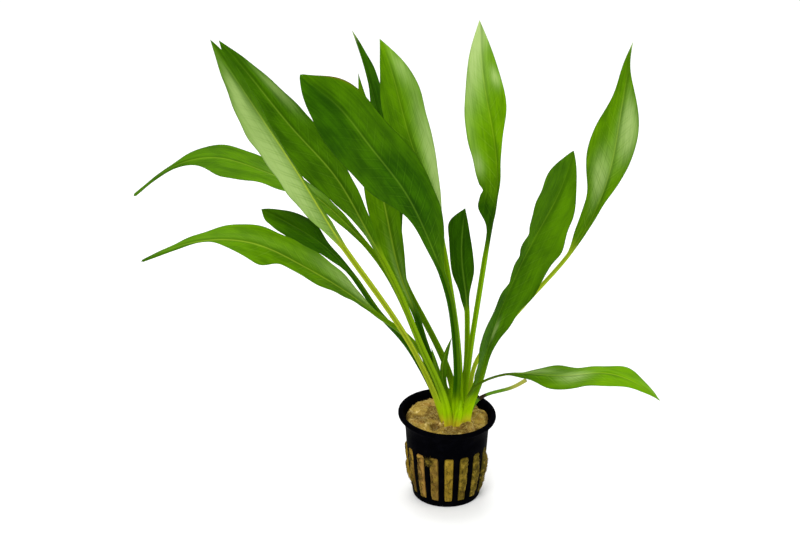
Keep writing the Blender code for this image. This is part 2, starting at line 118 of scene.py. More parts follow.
class Signal:
    """A number or colour on its way through a material. Sums on it add Math nodes."""

    def __init__(self, paint, socket):
        self.paint, self.socket = paint, socket

    def math(self, operation, *values):
        return self.paint.node("ShaderNodeMath", {"operation": operation}, dict(enumerate(values)))

    __add__ = __radd__ = sum_method("ADD")
    __sub__, __rsub__ = sum_method("SUBTRACT"), sum_method("SUBTRACT", turned=True)
    __mul__ = __rmul__ = sum_method("MULTIPLY")
    __truediv__ = sum_method("DIVIDE")

    def __abs__(self):
        return self.math("ABSOLUTE", self)

    def ripple(self):
        """0 at every whole number, 1 halfway between two of them."""
        return 1 - abs(self.math("FRACT", self) * 2 - 1)

    def rise(self, low, high):
        """A smooth step from 0 at low to 1 at high; a high that is less than low turns it round."""
        return self.paint.node("ShaderNodeMapRange", {"interpolation_type": "SMOOTHSTEP"},
                               {"Value": self, "From Min": low, "From Max": high})


# %% [markdown]
# A material is built by one more small class. Its node method adds any node: first the node's
# type, then its settings, then the values or links of its sockets. Noise is read at the place of
# each point of the object, so a pattern has the same size everywhere and doesn't slide. Colours
# are laid over each other in coats, as a painter does.

# %% A material under construction
class Paint:
    """One material and the nodes that are added to it."""

    def __init__(self, name):
        self.material = bpy.data.materials.new(name)
        self.material.use_nodes = True
        self.shader = self.material.node_tree.nodes["Principled BSDF"]

    def plug(self, socket, value):
        """Links a signal to a socket, or sets the socket to a plain value."""
        if isinstance(value, Signal):
            self.material.node_tree.links.new(value.socket, socket)
        else:
            socket.default_value = value

    def node(self, kind, settings=None, values=None, out=0):
        made = self.material.node_tree.nodes.new(kind)
        for name, setting in (settings or {}).items():
            setattr(made, name, setting)
        for name, value in (values or {}).items():
            self.plug(made.inputs[name], value)
        return Signal(self, made.outputs[out])

    def field(self, name):
        """A number that the mesh keeps for each of its points."""
        return self.node("ShaderNodeAttribute", {"attribute_name": name}, out="Fac")

    def place(self):
        """Where each point of the object is, in metres."""
        return self.node("ShaderNodeTexCoord", out="Object")

    def place_along(self, axis):
        return self.node("ShaderNodeSeparateXYZ", values={"Vector": self.place()}, out=axis)

    def noise(self, size, detail=3.0, roughness=0.55, vector=None):
        """Cloudy noise whose patches are about this many millimetres across, from 0 to 1."""
        if vector is None:
            vector, size = self.place(), size / 1000
        values = {"Vector": vector, "Scale": 1 / size, "Detail": detail, "Roughness": roughness}
        return self.node("ShaderNodeTexNoise", values=values)

    def blend(self, share, *colours):
        """The first of two colours where the share is 0, the second where it is 1."""
        first, second = (tint(*one) if isinstance(one, tuple) else one for one in colours)
        return self.node("ShaderNodeMix", {"data_type": "RGBA"}, {0: share, 6: first, 7: second},
                         out=2)

    def coats(self, colour, *coats):
        """A colour with others laid over it in turn, each given with its share."""
        for share, coat in coats:
            colour = self.blend(share, colour, coat)
        return colour

    def bump(self, height, distance):
        """A normal for a relief of this height, whose full rise is the distance in millimetres."""
        return self.node("ShaderNodeBump", values={"Height": height, "Distance": distance / 1000})

    def finish(self, **values):
        """Sets the shader's own sockets; an underscore in a name stands for a space."""
        for name, value in values.items():
            self.plug(self.shader.inputs[name.replace("_", " ")], value)
        return self.material


# %% [markdown]
# Colours are given here as a screen shows them, from 0 to 255. A shader counts with light instead,
# so each colour is turned into light before it is laid on.

# %% A screen's colour as light
def tint(red, green, blue):
    """The light of a screen's colour: its shares of 255, above 0.04 raised to the power of 2.4."""
    share = np.array([red, green, blue]) / 255
    light = np.where(share > 0.04045, ((share + 0.055) / 1.055) ** 2.4, share / 12.92)
    return (*light.tolist(), 1.0)


print("a mid green as light:", [round(v, 3) for v in tint(90, 150, 20)])

# %% [markdown]
# The paper itself is a plain sheet with a trace of grain, so four corners are enough for it. It is
# part of the stage, not of the plant.

# %% Lay the paper
paper_paint = Paint("studio paper")
grain = paper_paint.noise(0.8)
paper = bpy.data.objects.new("studio_paper", bpy.data.meshes.new("studio_paper"))
paper.data.from_pydata([(-4, -4, 0), (4, -4, 0), (4, 4, 0), (-4, 4, 0)], [], [(0, 1, 2, 3)])
paper.data.materials.append(paper_paint.finish(
    Base_Color=paper_paint.blend(grain, (248, 248, 248), (252, 252, 252)),
    Roughness=0.9, Specular_IOR_Level=0.1))
bpy.context.collection.objects.link(paper)
paper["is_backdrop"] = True
print("the paper's corners:", len(paper.data.vertices))

# %% [markdown]
# Every piece of the plant is made the same way: numpy works out all of its points at once, and
# the mesh takes them. A leaf, a stalk and the wool are each a stack of closed rings, so one helper
# writes the faces between the rings, another closes a ring round a point, and a third makes a
# closed skin of both and turns it outwards.

# %% From points to pieces
def ring_faces(rings, around):
    """Four-cornered faces between rings of points: a point, the next one, and the two above."""
    ring, place = np.mgrid[0:rings - 1, 0:around]
    after = (place + 1) % around
    corners = [ring * around + place, ring * around + after,
               (ring + 1) * around + after, (ring + 1) * around + place]
    return np.stack(corners, -1).reshape(-1, 4).tolist()


def closing_faces(first, around, centre, turned=False):
    """Triangles from a ring that begins at this point number to one centre point."""
    place = np.arange(around)
    fan = np.stack([first + place, first + (place + 1) % around, np.full(around, centre)], -1)
    return (fan[:, ::-1] if turned else fan).tolist()


def enclosed(points, faces):
    """The volume inside closed faces in mm3; it is positive only where they face outwards."""
    quads = np.array([face for face in faces if len(face) == 4], int).reshape(-1, 4)
    fans = np.array([face for face in faces if len(face) == 3], int).reshape(-1, 3)
    corners = points[np.concatenate([quads[:, :3], quads[:, [0, 2, 3]], fans])]
    return np.einsum("ij,ij->i", corners[:, 0], np.cross(corners[:, 1], corners[:, 2])).sum() / 6


def closed_skin(points, foot, tip):
    """Rings of points, closed round one point at each end, with every face turned outwards."""
    rings, around = points.shape[:2]
    skin = np.concatenate([points.reshape(-1, 3), [foot, tip]])
    faces = ring_faces(rings, around) + closing_faces(0, around, rings * around, turned=True)
    faces += closing_faces((rings - 1) * around, around, rings * around + 1)
    if enclosed(skin, faces) < 0:
        faces = [face[::-1] for face in faces]
    return skin, faces


# %% [markdown]
# A mesh can keep numbers for each of its points, such as how far along a leaf a point lies, and
# the finish reads them again. A shown piece moves with the plant's one body, and most of them stand
# in for a imported piece.

# %% Make a shown piece
def make_piece(name, points, faces, material, slot, stands_for=None, **fields):
    """A shown piece from points in millimetres, faces, and numbers kept for each point."""
    name = name + "_shown" if stands_for else name
    mesh = bpy.data.meshes.new(name)
    mesh.from_pydata((points / 1000).tolist(), [], faces)
    for label, values in fields.items():
        kept = mesh.attributes.new(label, "FLOAT", "POINT")
        kept.data.foreach_set("value", np.ascontiguousarray(values, np.float32).ravel())
    mesh.shade_smooth()
    mesh.materials.append(material)
    thing = bpy.data.objects.new(name, mesh)
    bpy.context.collection.objects.link(thing)
    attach(thing, "root")
    if stands_for:
        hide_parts(stands_for)
    print(f"{name}: {len(faces)} faces around {enclosed(points, faces):.0f} mm3")
    return thing


# %% [markdown]
# A sword plant's leaf grows on a long stalk, and stalk and blade follow one smooth line. Every
# leaf here is given as a few points on that line, in millimetres from the middle of the
# pot's base, with the half widths of its blade to the left and right of the midrib, how far the
# blade is turned, how steeply its halves fold up, and the height and number of its waves, which
# are 0.8 mm and 2 unless given. The imported leaves were made from the same numbers, so the new
# leaves lie in them. The new ones add nicks in an edge: the side, the place along the blade, the
# length, and the depth in millimetres, below 0 where the edge stands out. A leaf whose tip has
# rolled up into a thin cord says how tightly, and one that bulges more between its side veins says
# how much more.

# %% The leaves' lines and widths
LEAVES = {
    "leaf_far_left": dict(
        route=[(2.4, -3.8, 44), (-4.8, -0.8, 60), (-12, 6, 80), (-22.5, 12, 107), (-36, 22, 131),
        (-58, 32, 155), (-80, 39, 172), (-105, 44, 182), (-133, 46, 189), (-157, 44, 183),
        (-178, 40, 168)], stalk=0.42, left=(4.4, 9.6, 13, 13, 15.4, 3.5, 1.8),
        right=(3.6, 8.4, 13, 14.6, 13.4, 8.8, 2.5), turn=(40, 60, 60, 46, 96),
        fold=(4, 0, -4, -2, 0), colour="dark", nicks=[(1, 0.4, 0.12, -1.6), (1, 0.78, 0.06, 1.2),
        (-1, 0.74, 0.1, -1.0), (1, 0.91, 0.03, -0.8), (1, 1, 0.12, -1.1), (-1, 1, 0.12, -1.1)],
        rolled=1.0),
    "leaf_left_pale": dict(
        route=[(0, -8.2, 44), (-5, -9, 62), (-12, -13, 82), (-24, -21, 110), (-41, -33, 143),
        (-61, -44, 179), (-78, -54, 214), (-101, -64, 257), (-119, -68, 289)], stalk=0.5,
        left=(4.5, 8.5, 11, 11.9, 11.7, 8.7, 4.9), right=(6, 10, 12, 12, 11, 9, 6),
        turn=(-28, -46, -50, -42, -10), fold=(34, 34, 20), wave=(0.6, 2), colour="bright"),
    "leaf_left_behind": dict(
        route=[(1.1, -10.2, 44), (-0.8, -13, 60), (-6.5, -17, 80), (-15, -19, 101), (-25, -20, 128),
        (-34, -20, 149), (-44, -18, 168), (-62, -14, 200), (-82, -9, 222), (-107, -4, 253),
        (-122, 0, 270)], stalk=0.44, left=(2, 9, 15.8, 18, 16.6, 14, 9),
        right=(4, 6.5, 8.8, 10.8, 11, 8.6, 4.8), turn=(20, 34, 25, 20), fold=(10, 10),
        colour="dark", foot=0.95),
    "leaf_front_dark": dict(
        route=[(5, -8.8, 44), (4.5, -10.2, 58), (5, -13, 76), (4, -19, 99), (0, -27, 133),
        (-10, -39, 168), (-25, -54, 206), (-43, -68, 236), (-61, -78, 262), (-70.4, -79.6, 270.3),
        (-75.1, -80, 274.9)], stalk=0.42, left=(2.5, 5, 10, 15, 16.4, 17.6, 14),
        right=(6.4, 12, 13.8, 15.6, 14.6, 13.2, 11), turn=(0, 5, 5), fold=(10, 10), wave=(0.6, 2),
        colour="dark", nicks=[(-1, 0.32, 0.12, 1.3), (-1, 0.94, 0.08, -1.1), (1, 0.9, 0.12, -0.8)]),
    "leaf_back_narrow": dict(
        route=[(4.6, -2.2, 44), (3.5, 6, 62), (-6, 17, 86), (-16, 28, 102), (-26, 38, 121),
        (-30, 50, 152), (-35, 60, 186), (-42, 66, 219), (-54, 72, 256)], stalk=0.42,
        left=(3, 6, 8, 9, 7.6, 2.8, 0.2), right=(3, 6, 8, 8, 6.5, 7, 4.5), turn=(20, 40, 40),
        fold=(14, 14), colour="dark"),
    "leaf_back_bright": dict(
        route=[(8.1, -6.4, 44), (6.8, -3, 62), (6.4, 2, 80), (4.6, 5, 101), (0.6, 10, 127),
        (-5, 16, 156), (-14, 24, 185), (-23, 30, 211), (-31, 34, 241), (-38, 36, 261)], stalk=0.46,
        left=(2, 4, 7, 10, 12, 11, 6.2), right=(2.6, 6.4, 9.6, 12, 12.5, 12.5, 7.8),
        turn=(0, 10, 10), fold=(14, 14), colour="bright"),
    "leaf_middle_back": dict(
        route=[(5.4, -4.6, 44), (-0.6, 2.2, 62), (-12, 7, 89), (-18, 10, 108), (-25, 14, 125),
        (-33, 22, 156), (-39, 30, 184), (-45, 36, 215), (-50, 42, 240)], stalk=0.32,
        left=(3, 6.5, 9, 10, 8.5, 6.5, 3.5), right=(1.2, 5, 7, 8.5, 8.5, 7, 2.6), turn=(0, 0),
        fold=(14, 14), colour="bright"),
    "leaf_small_upright": dict(
        route=[(7.2, -2.6, 44), (8.3, 3, 58), (10.6, 8, 73), (11.4, 14, 93), (10.8, 19, 113),
        (8, 26, 137), (10, 34, 163)], stalk=0.52, left=(2, 4, 6.4, 7, 7.4, 8.2, 7.6),
        right=(1, 3.5, 6.4, 7, 6.4, 4.8, 2.7), turn=(0, 0), fold=(20, 20), wave=(0.3, 2),
        colour="dark", stem=0.85, nicks=[(-1, 0.12, 0.1, -0.8), (-1, 0.85, 0.1, -0.6)]),
    "leaf_tall": dict(
        route=[(9.2, -4.3, 44), (11, 0, 60), (12.2, 4, 75), (14.8, 8, 97), (17.8, 12, 117),
        (23, 18, 151), (27, 23, 184), (23, 27, 217), (18, 29, 245), (16, 30, 273)], stalk=0.42,
        left=(1.6, 7.6, 12.4, 14.6, 13.6, 10, 6), right=(3.6, 5, 4.4, 6.2, 10.6, 9.8, 6.2),
        turn=(-50, -50, -28, -6, 0), fold=(28, 32, 20, 10, 10), colour="bright", quilted=2.4,
        nicks=[(-1, 0.2, 0.05, -3.6), (-1, 0.285, 0.016, 1.6)]),
    "leaf_right_wavy": dict(
        route=[(8.9, -9.6, 44), (10.6, -10.6, 58), (15, -13, 72), (20, -18, 93), (25, -23, 116),
        (34, -29, 145), (44, -35, 172), (55, -40, 198), (62, -44, 224)], stalk=0.2,
        left=(5.2, 8, 9.4, 9.4, 7.8, 6, 5.4, 5.6, 6.4, 7.6, 9.6, 11.2, 12.6, 12.8, 10),
        right=(0.6, 2.2, 5, 8, 11, 13, 14.6, 15.8, 16.4, 16.4, 15.4, 13.4, 10.6, 7.4, 4.4),
        turn=(40, 36, 24), fold=(22, 18, 14), wave=(1.2, 5), colour="dark", stem=1.35, foot=1.0,
        nicks=[(-1, 0.655, 0.03, 2.4), (-1, 0.92, 0.07, -1.5), (-1, 0.56, 0.022, 1.6),
        (-1, 0.44, 0.026, 1.9), (-1, 0.0, 0.07, -4.0)]),
    "leaf_far_right": dict(
        route=[(10.7, -7, 44), (12.8, -3.8, 64), (16.2, 1, 82), (28.5, 7, 97), (49, 14, 119),
        (68, 20, 140), (82, 26, 163), (91, 31, 190), (95, 34, 218), (100, 34, 260)], stalk=0.48,
        left=(5.4, 7.6, 12, 15, 12.4, 6.2, 3.8), right=(1.8, 3.4, 7.6, 10.8, 11.5, 7.6, 1.4),
        turn=(-45, -35, -10, -5, 0), fold=(14, 14), wave=(1.2, 3), colour="bright", stem=0.75),
    "leaf_right_low": dict(
        route=[(6.3, -11.7, 44), (8, -13.6, 58), (14, -19, 76), (24, -25, 85.5), (38, -34, 92.6),
        (61, -48, 98), (84, -62, 106), (99, -70, 103), (109, -76, 97)], stalk=0.38,
        left=(1, 9.6, 10, 8, 8.4, 11.8, 8.6), right=(4, 7, 11, 12, 13, 10.5, 5.5),
        turn=(-58, -62, -66), fold=(-4, -4), wave=(1.0, 2), colour="bright", stem=0.45,
        nicks=[(1, 0.42, 0.16, -1.0), (-1, 0.92, 0.1, -0.9)]),
    "leaf_left_low": dict(
        route=[(3.4, -6.4, 44), (-2, -5, 60), (-10, -2, 80), (-24, -5, 102), (-37, -9, 114),
        (-55, -18, 133), (-82, -34, 158), (-105, -46, 174), (-133, -56, 178), (-160, -62, 170)],
        stalk=0.36, left=(5.7, 10.3, 9.8, 7.8, 15.4, 2.2, 2.2),
        right=(6.4, 12.4, 13, 11.6, 12, 8.8, 4.4), turn=(64, 55, 46, 50, 74),
        fold=(16, 14, 8, 2, 0), wave=(1.0, 2), colour="bright", nicks=[(1, 1, 0.12, -0.8),
        (-1, 1, 0.12, -0.8)], rolled=0.8),
    "leaf_left_short": dict(
        route=[(0.8, -5.9, 44), (-4.6, -4.4, 58), (-16.2, 0, 82), (-27, 5, 97), (-37, 9, 107),
        (-51, 15, 126), (-66, 21, 142), (-83, 26, 153), (-105, 30, 164)], stalk=0.6,
        left=(1, 2.2, 3.6, 5, 6.2, 7.4, 9, 10.6, 12, 12.6, 12.4, 11.8, 10.6, 9, 7),
        right=(0.6, 1.2, 1.8, 2.4, 3.2, 4.4, 6.2, 8.8, 11.2, 12.6, 12.8, 11.8, 9.8, 7.4, 4.6),
        turn=(45, 50, 55), fold=(0, 0), wave=(0.5, 2), colour="dark"),
    "young_leaf": dict(
        route=[(5.8, -6.8, 44), (1.6, -6.6, 58), (-2, -5, 70), (-3, -3, 81), (-1, -3, 91),
        (2, -4, 100)], stalk=0.35, left=(1, 1.5, 1.6, 1.4, 0.9), right=(1.2, 2, 2.4, 2, 1.2),
        turn=(20, 30), fold=(25, 15), wave=(0.0, 1), colour="young", stem=0.7,
        nicks=[(1, 0.0, 0.12, -3.2)]),
    "young_shoot": dict(
        route=[(2.6, -8.4, 44), (-0.6, -8.9, 59), (-4, -10, 73), (-7, -11, 86), (-9.5, -12, 98)],
        stalk=0.2, left=(1.4, 2, 2, 1.6, 1), right=(1.4, 2, 2, 1.6, 1), turn=(20, 10),
        fold=(30, 20), wave=(0.0, 1), colour="young", stem=0.8),
    "base_sheath": dict(
        route=[(4.4, -11, 44), (5, -13.4, 52), (6.4, -15.6, 61), (7.2, -17, 68)], stalk=0.1,
        left=(1.8, 2.2, 1.6), right=(1.8, 2.2, 1.6), turn=(10, 10), fold=(25, 25), wave=(0.0, 1),
        colour="young", stem=0.75, foot=0.8),
}
print("leaves:", len(LEAVES))

# %% [markdown]
# A natural cubic spline runs through the given points without a kink. Its curvature comes
# from one small set of equations, and the place of every ring is then read from it at once.

# %% Smooth lines
def cubic(knots, values, place):
    """A curve through the values at their knots: a cubic between each two, with no kinks."""
    gaps, count = np.diff(knots), len(knots)
    system, pull = np.eye(count), np.zeros_like(values)
    inner = np.arange(1, count - 1)
    system[inner, inner - 1], system[inner, inner + 1] = gaps[:-1], gaps[1:]
    system[inner, inner] = 2 * (gaps[:-1] + gaps[1:])
    pull[1:-1] = 6 * np.diff(np.diff(values, axis=0) / gaps[:, None], axis=0)
    bend = np.linalg.solve(system, pull)
    i = np.clip(np.searchsorted(knots, place, side="right") - 1, 0, count - 2)
    gap = gaps[i][:, None]
    left, right = (knots[i + 1] - place)[:, None], (place - knots[i])[:, None]
    curved = (bend[i] * left**3 + bend[i + 1] * right**3) / (6 * gap)
    straight = (values[i] / gap - bend[i] * gap / 6) * left
    return curved + straight + (values[i + 1] / gap - bend[i + 1] * gap / 6) * right


def route_length(route):
    """The sum of the distances from each of the route's points to the next."""
    return np.linalg.norm(np.diff(np.array(route, float), axis=0), axis=1).sum()


def along_route(route, share):
    """Points at the given shares of the smooth line through the route's points."""
    route = np.array(route, float)
    knots = np.append(0, np.cumsum(np.linalg.norm(np.diff(route, axis=0), axis=1)))
    return cubic(knots, route, share * knots[-1])


def spread(values, share):
    """Values given evenly from the blade's foot to its tip, read at each share of it."""
    values = np.array(values, float)[:, None]
    return cubic(np.linspace(0, 1, len(values)), values, share)


print("the longest leaf is", round(max(route_length(leaf["route"]) for leaf in LEAVES.values())),
      "mm from crown to tip")

# %% [markdown]
# At each place of its line, a leaf has a direction across it and one out of its face. The face is
# the direction that looks most towards the light, turned about the leaf's line.

# %% The directions of a leaf
FACING = np.array([0.0, -0.92, 0.39]) / math.hypot(0.92, 0.39)  # the side that leaves turn to


def leaf_axes(route, share, turn):
    """The line of a leaf, and its directions across and out of its face."""
    ahead, behind = np.clip(share + 1e-3, 0, 1), np.clip(share - 1e-3, 0, 1)
    along = along_route(route, ahead) - along_route(route, behind)
    along /= np.linalg.norm(along, axis=1)[:, None]
    facing = FACING - (along @ FACING)[:, None] * along
    facing /= np.linalg.norm(facing, axis=1)[:, None]
    angle = np.radians(turn)
    out = np.cos(angle) * facing + np.sin(angle) * np.cross(along, facing)
    return along_route(route, share), np.cross(along, out), out


print("leaves turn to:", FACING.round(2))

# %% [markdown]
# Living leaves aren't evenly green. Each leaf has its tones here, from 0 for old, deep green to 1
# for young, bright green, given evenly from the blade's foot to its tip, and how much brighter its
# right half is than its left. Where the wax on a leaf would catch the light, a pale sheen is
# painted on, and other places get painted shade. Such a patch is given as a place across the blade
# (-1 at its left edge, 1 at its right) and its reach each way, a place along it (0 to 1) and its
# reach, and its strength. Some midribs stand out, others hardly show. The stem has a tone of its
# own, some stems are yellowed, and a few edges have turned brown.

# %% Tones, pale patches and midribs
def look(tones, slope=0.0, rib=(0.25, 0.25), pale=(), shade=(), brown=(), stem=0.4, yellow=0.0,
         brown_foot=0.0):
    """All of these values under their own names."""
    return locals()


LOOKS = {
    "leaf_far_left": look((0.4, 0.55, 0.5, 0.3, 0.3), 0.0, (0.3, 0.25),
                          [(0.4, 0.7, 0.36, 0.14, 0.3)], stem=0.5),
    "leaf_left_pale": look(
        (0.6, 0.6, 0.5, 0.3, 0.2), -0.1, (1.0, 1.0, 0.9, 0.3, 0.1),
        [(-0.6, 0.7, 0.45, 0.38, 1.0), (-0.5, 0.3, 0.78, 0.1, 0.5), (0.6, 0.5, 0.0, 0.25, 0.4)],
        stem=0.8, yellow=0.6, brown_foot=0.7),
    "leaf_left_behind": look(
        (0.35, 0.22, 0.17, 0.1), 0.0, (0.5, 0.4, 0.2),
        [(0.75, 0.3, 0.74, 0.12, 0.6), (-0.5, 0.5, 0.08, 0.12, 0.3)], stem=0.6, yellow=0.1),
    "leaf_front_dark": look(
        (0.1, 0.12, 0.16, 0.14), 0.08, (0.25, 0.3, 0.15), stem=0.05,
        shade=[(-0.6, 0.6, 0.88, 0.14, 0.3), (0.3, 0.6, 0.4, 0.2, 0.3)],
        brown=[(1.0, 0.06, 0.9, 0.05, 0.6)]),
    "leaf_back_narrow": look((0.1, 0.0, 0.0), 0.0, (0.1, 0.1), [(0.0, 2.0, 1.0, 0.04, 1.6)],
                             stem=0.35),
    "leaf_back_bright": look((0.3, 0.42, 0.55, 0.9), 0.2, (0.1, 0.1),
                             [(0.8, 0.5, 0.36, 0.34, 0.85), (0.6, 0.5, 0.86, 0.1, 0.4)], stem=0.6),
    "leaf_middle_back": look(
        (0.5, 0.45, 0.4), -0.1, (0.4, 0.3),
        [(-0.25, 0.25, 0.16, 0.2, 0.4), (0.5, 0.3, 0.12, 0.2, 0.35)], stem=-0.1),
    "leaf_small_upright": look((0.1, -0.05, 0.0), 0.08, (0.6, 0.3), stem=0.8),
    "leaf_tall": look(
        (0.1, 0.2, 0.75, 1.2, 1.1, 1.0), -0.1, (0.1, 0.1),
        [(-0.5, 0.7, 0.84, 0.17, 0.75), (0.0, 2.0, 0.97, 0.09, 0.8), (0.7, 0.3, 0.76, 0.05, 0.6),
         (-0.8, 0.3, 0.4, 0.06, 0.5), (-0.9, 0.3, 0.6, 0.2, 0.3)],
        [(-0.6, 0.7, 0.13, 0.1, 0.8)], stem=0.8),
    "leaf_right_wavy": look((0.3, 0.14, 0.2, 0.28, 0.2), 0.05, (0.1, 0.15),
                            [(0.12, 0.12, 0.22, 0.05, 1.0)], stem=0.3),
    "leaf_far_right": look(
        (0.3, 0.5, 0.6, 0.4), 0.0, (0.15, 0.15),
        [(0.5, 0.5, 0.62, 0.15, 0.9), (-0.35, 0.4, 0.38, 0.13, 0.75), (0.0, 2.0, 1.0, 0.03, 1.4)],
        [(0.0, 0.4, 0.86, 0.08, 0.15)], stem=0.8, yellow=0.45),
    "leaf_right_low": look(
        (0.3, 0.5, 1.0, 1.3), 0.0, (0.25, 0.15),
        [(-0.4, 0.4, 0.18, 0.14, 0.6), (0.1, 0.5, 0.46, 0.12, 0.7)], stem=-0.1, yellow=0.1),
    "leaf_left_low": look(
        (0.4, 0.6, 0.6, 0.3), 0.1, (0.4, 0.35),
        [(0.6, 0.5, 0.12, 0.22, 0.6), (0.3, 0.4, 0.6, 0.2, 0.15)], stem=0.5),
    "leaf_left_short": look((-0.1, 0.02, 0.25), 0.0, (0.15, 0.15), stem=0.1, brown_foot=0.5),
    "young_leaf": look((0.4, 0.3), stem=0.6),
    "young_shoot": look((0.4, 0.3), stem=0.7),
    "base_sheath": look((0.8, 0.8), stem=0.9, yellow=0.3),
}
print("pale patches:", sum(len(seen["pale"]) for seen in LOOKS.values()))

# %% [markdown]
# A leaf could be cut from a flat picture of one, but then it would have no thickness and no veins
# from the side. Here it is a closed skin. Each ring runs over the upper face and back under the
# lower one. At the crown the stem is a flat sheath with thin edges, higher up it is a rounded
# channel, and in the blade it flattens to a thin lens with a groove along its midrib and a keel
# below. The rings lie closer in the blade than in the stem, and the points of a ring lie closest
# at the midrib and the edges, where the form changes most.

# %% A leaf's skin
FACE_COLUMNS = 34  # steps from edge to edge on each face
STEM_RINGS, BLADE_RINGS = 44, 150
STEM_WIDTH, STEM_DEPTH = 3.8, 2.5
STEM_FOOT = 0.58  # a stem's thickness at the crown, as a share of its full thickness
STEM_SWELLS = 40.0  # the length over which it grows to its full thickness
SHEATH_REACH = 25.0  # how far up the flat sheath narrows into the stem
BLADE_LENS = 0.28  # half of the blade's thickness in its middle
GROOVE_DEPTH, GROOVE_REACH = 0.5, 0.8
QUILTING, FLUTTER = 0.16, 0.3
VEIN_STEP = 7.6  # from one slanting side vein to the next
VEIN_SLANT = 1.3
EDGE_TO_EDGE = np.linspace(-1, 1, FACE_COLUMNS + 1)
EDGE_TO_EDGE = EDGE_TO_EDGE - 0.55 * np.sin(2 * np.pi * EDGE_TO_EDGE) / (2 * np.pi)


def leaf_skin(route, stalk, left, right, turn, fold, wave=(0.8, 2), stem=1.0, foot=STEM_FOOT,
              nicks=(), rolled=0.0, quilted=1.0):
    """Points of a leaf: its line, plus the distance across it times the direction across, plus
    the lift times the direction out of its face.

    A nick takes a bell curve off one half width. The lift adds the fold, the waves, the stalk's
    roundness or the blade's thickness, of which a rolled tip has more, the midrib's groove, the
    quilting between the side veins, and the flutter of the edge.
    """
    across = np.concatenate([EDGE_TO_EDGE[:0:-1], EDGE_TO_EDGE[:-1]])
    upper = np.repeat([1.0, -1.0], FACE_COLUMNS)
    over = upper * np.sqrt(1 - across**2)
    share = np.append(np.linspace(0, stalk, STEM_RINGS)[:-1], np.linspace(stalk, 1, BLADE_RINGS))
    blade = np.clip((share - stalk) / (1 - stalk), 0, 1)
    line, side, out = leaf_axes(route, share, spread(turn, blade))
    angle = np.radians(spread(fold, blade))
    left, right = (spread([0, *widths, 0], blade) for widths in (left, right))
    halves = np.where(across < 0, left, right).clip(0)
    blade, share = blade[:, None], share[:, None]
    for at_side, up, length, nick_depth in nicks:
        nick = nick_depth * np.exp(-((blade - up) / length) ** 2)
        halves = (halves - nick * (np.sign(across) == at_side)).clip(0)
    distance = share * route_length(route)

    grown = np.minimum(distance / STEM_SWELLS, 1)
    sheath = np.exp(-(distance / SHEATH_REACH) ** 2)
    stem_half = stem * (foot + (1 - foot) * grown) * STEM_WIDTH / 2 * (1 - blade)
    stem_half = stem_half * (1 + (1.1 * (1 - foot) + 0.6) * sheath)
    depth = min(stem, 1) * (STEM_FOOT + (1 - STEM_FOOT) * grown) * STEM_DEPTH / 2 * (1 - blade)
    half = np.hypot(halves, stem_half)
    from_rib = half * np.abs(across)
    flatness = np.minimum(5 * blade, 1)

    thin_edge = over * np.abs(over) ** (0.9 * sheath)
    channel = 0.75 * depth * np.exp(-(across / 0.4) ** 2) * (over > 0) * (1 - 0.7 * sheath)
    oval = depth * thin_edge - channel
    keel = np.abs(depth * over) * (1 - np.abs(across)) ** 3
    rolled = 0.55 * rolled * np.exp(-((1 - blade) / 0.2) ** 2) * np.minimum(half, 1.4)
    lens = np.abs(over) * (BLADE_LENS * (1 - 0.4 * blade) + rolled)
    groove = GROOVE_DEPTH * np.exp(-(from_rib / GROOVE_REACH) ** 2) * (1 - blade) ** 0.5
    thickness = np.where(upper > 0, lens - groove, -np.maximum(keel, lens + 0.6 * groove))
    roundness = oval * (1 - flatness) + thickness * flatness

    height, ripples = wave
    ripple = height * halves / halves.max() * across**2
    ripple = ripple * np.sin(2 * np.pi * ripples * blade + 1.2 * np.sign(across))
    slant = distance - VEIN_SLANT * from_rib
    quilting = -QUILTING * quilted * np.cos(2 * np.pi * slant / VEIN_STEP) * (1 - across**2) ** 2
    quilting = quilting * np.minimum(from_rib / 2, 1) * flatness * (1 - blade)
    flutter = FLUTTER * across**4 * np.sin(distance / 3.1 + 2 * np.sign(across)) * flatness
    lift = half * np.abs(across) ** 1.2 * np.sin(angle) + ripple + roundness
    lift = lift + quilting + flutter * np.minimum(halves / 5, 1)
    points = line[:, None] + (half * across * np.cos(angle))[..., None] * side[:, None]
    points = points + lift[..., None] * out[:, None]
    fields = {"across": across, "half_width": half, "distance": distance, "blade": blade,
              "underside": upper < 0}
    return points, {label: values * np.ones_like(half) for label, values in fields.items()}


print("places along a leaf:", STEM_RINGS + BLADE_RINGS - 1, "points round it:", 2 * FACE_COLUMNS)

# %% [markdown]
# The finish needs more than the skin's own numbers: how bright each point is, where painted sheen
# or painted shade lies on it, and how clear the midrib is. These come from the leaf's tones, pale
# patches and midrib above, and are kept with its points.

# %% A leaf with its tones
def patches(across, blade, chosen):
    """The sum of soft spots: for each, its strength times a bell curve about its place."""
    total = np.zeros_like(blade)
    for at, reach, up, length, strength in chosen:
        total += strength * np.exp(-((across - at) / reach) ** 2 - ((blade - up) / length) ** 2)
    return total * (blade > 0)


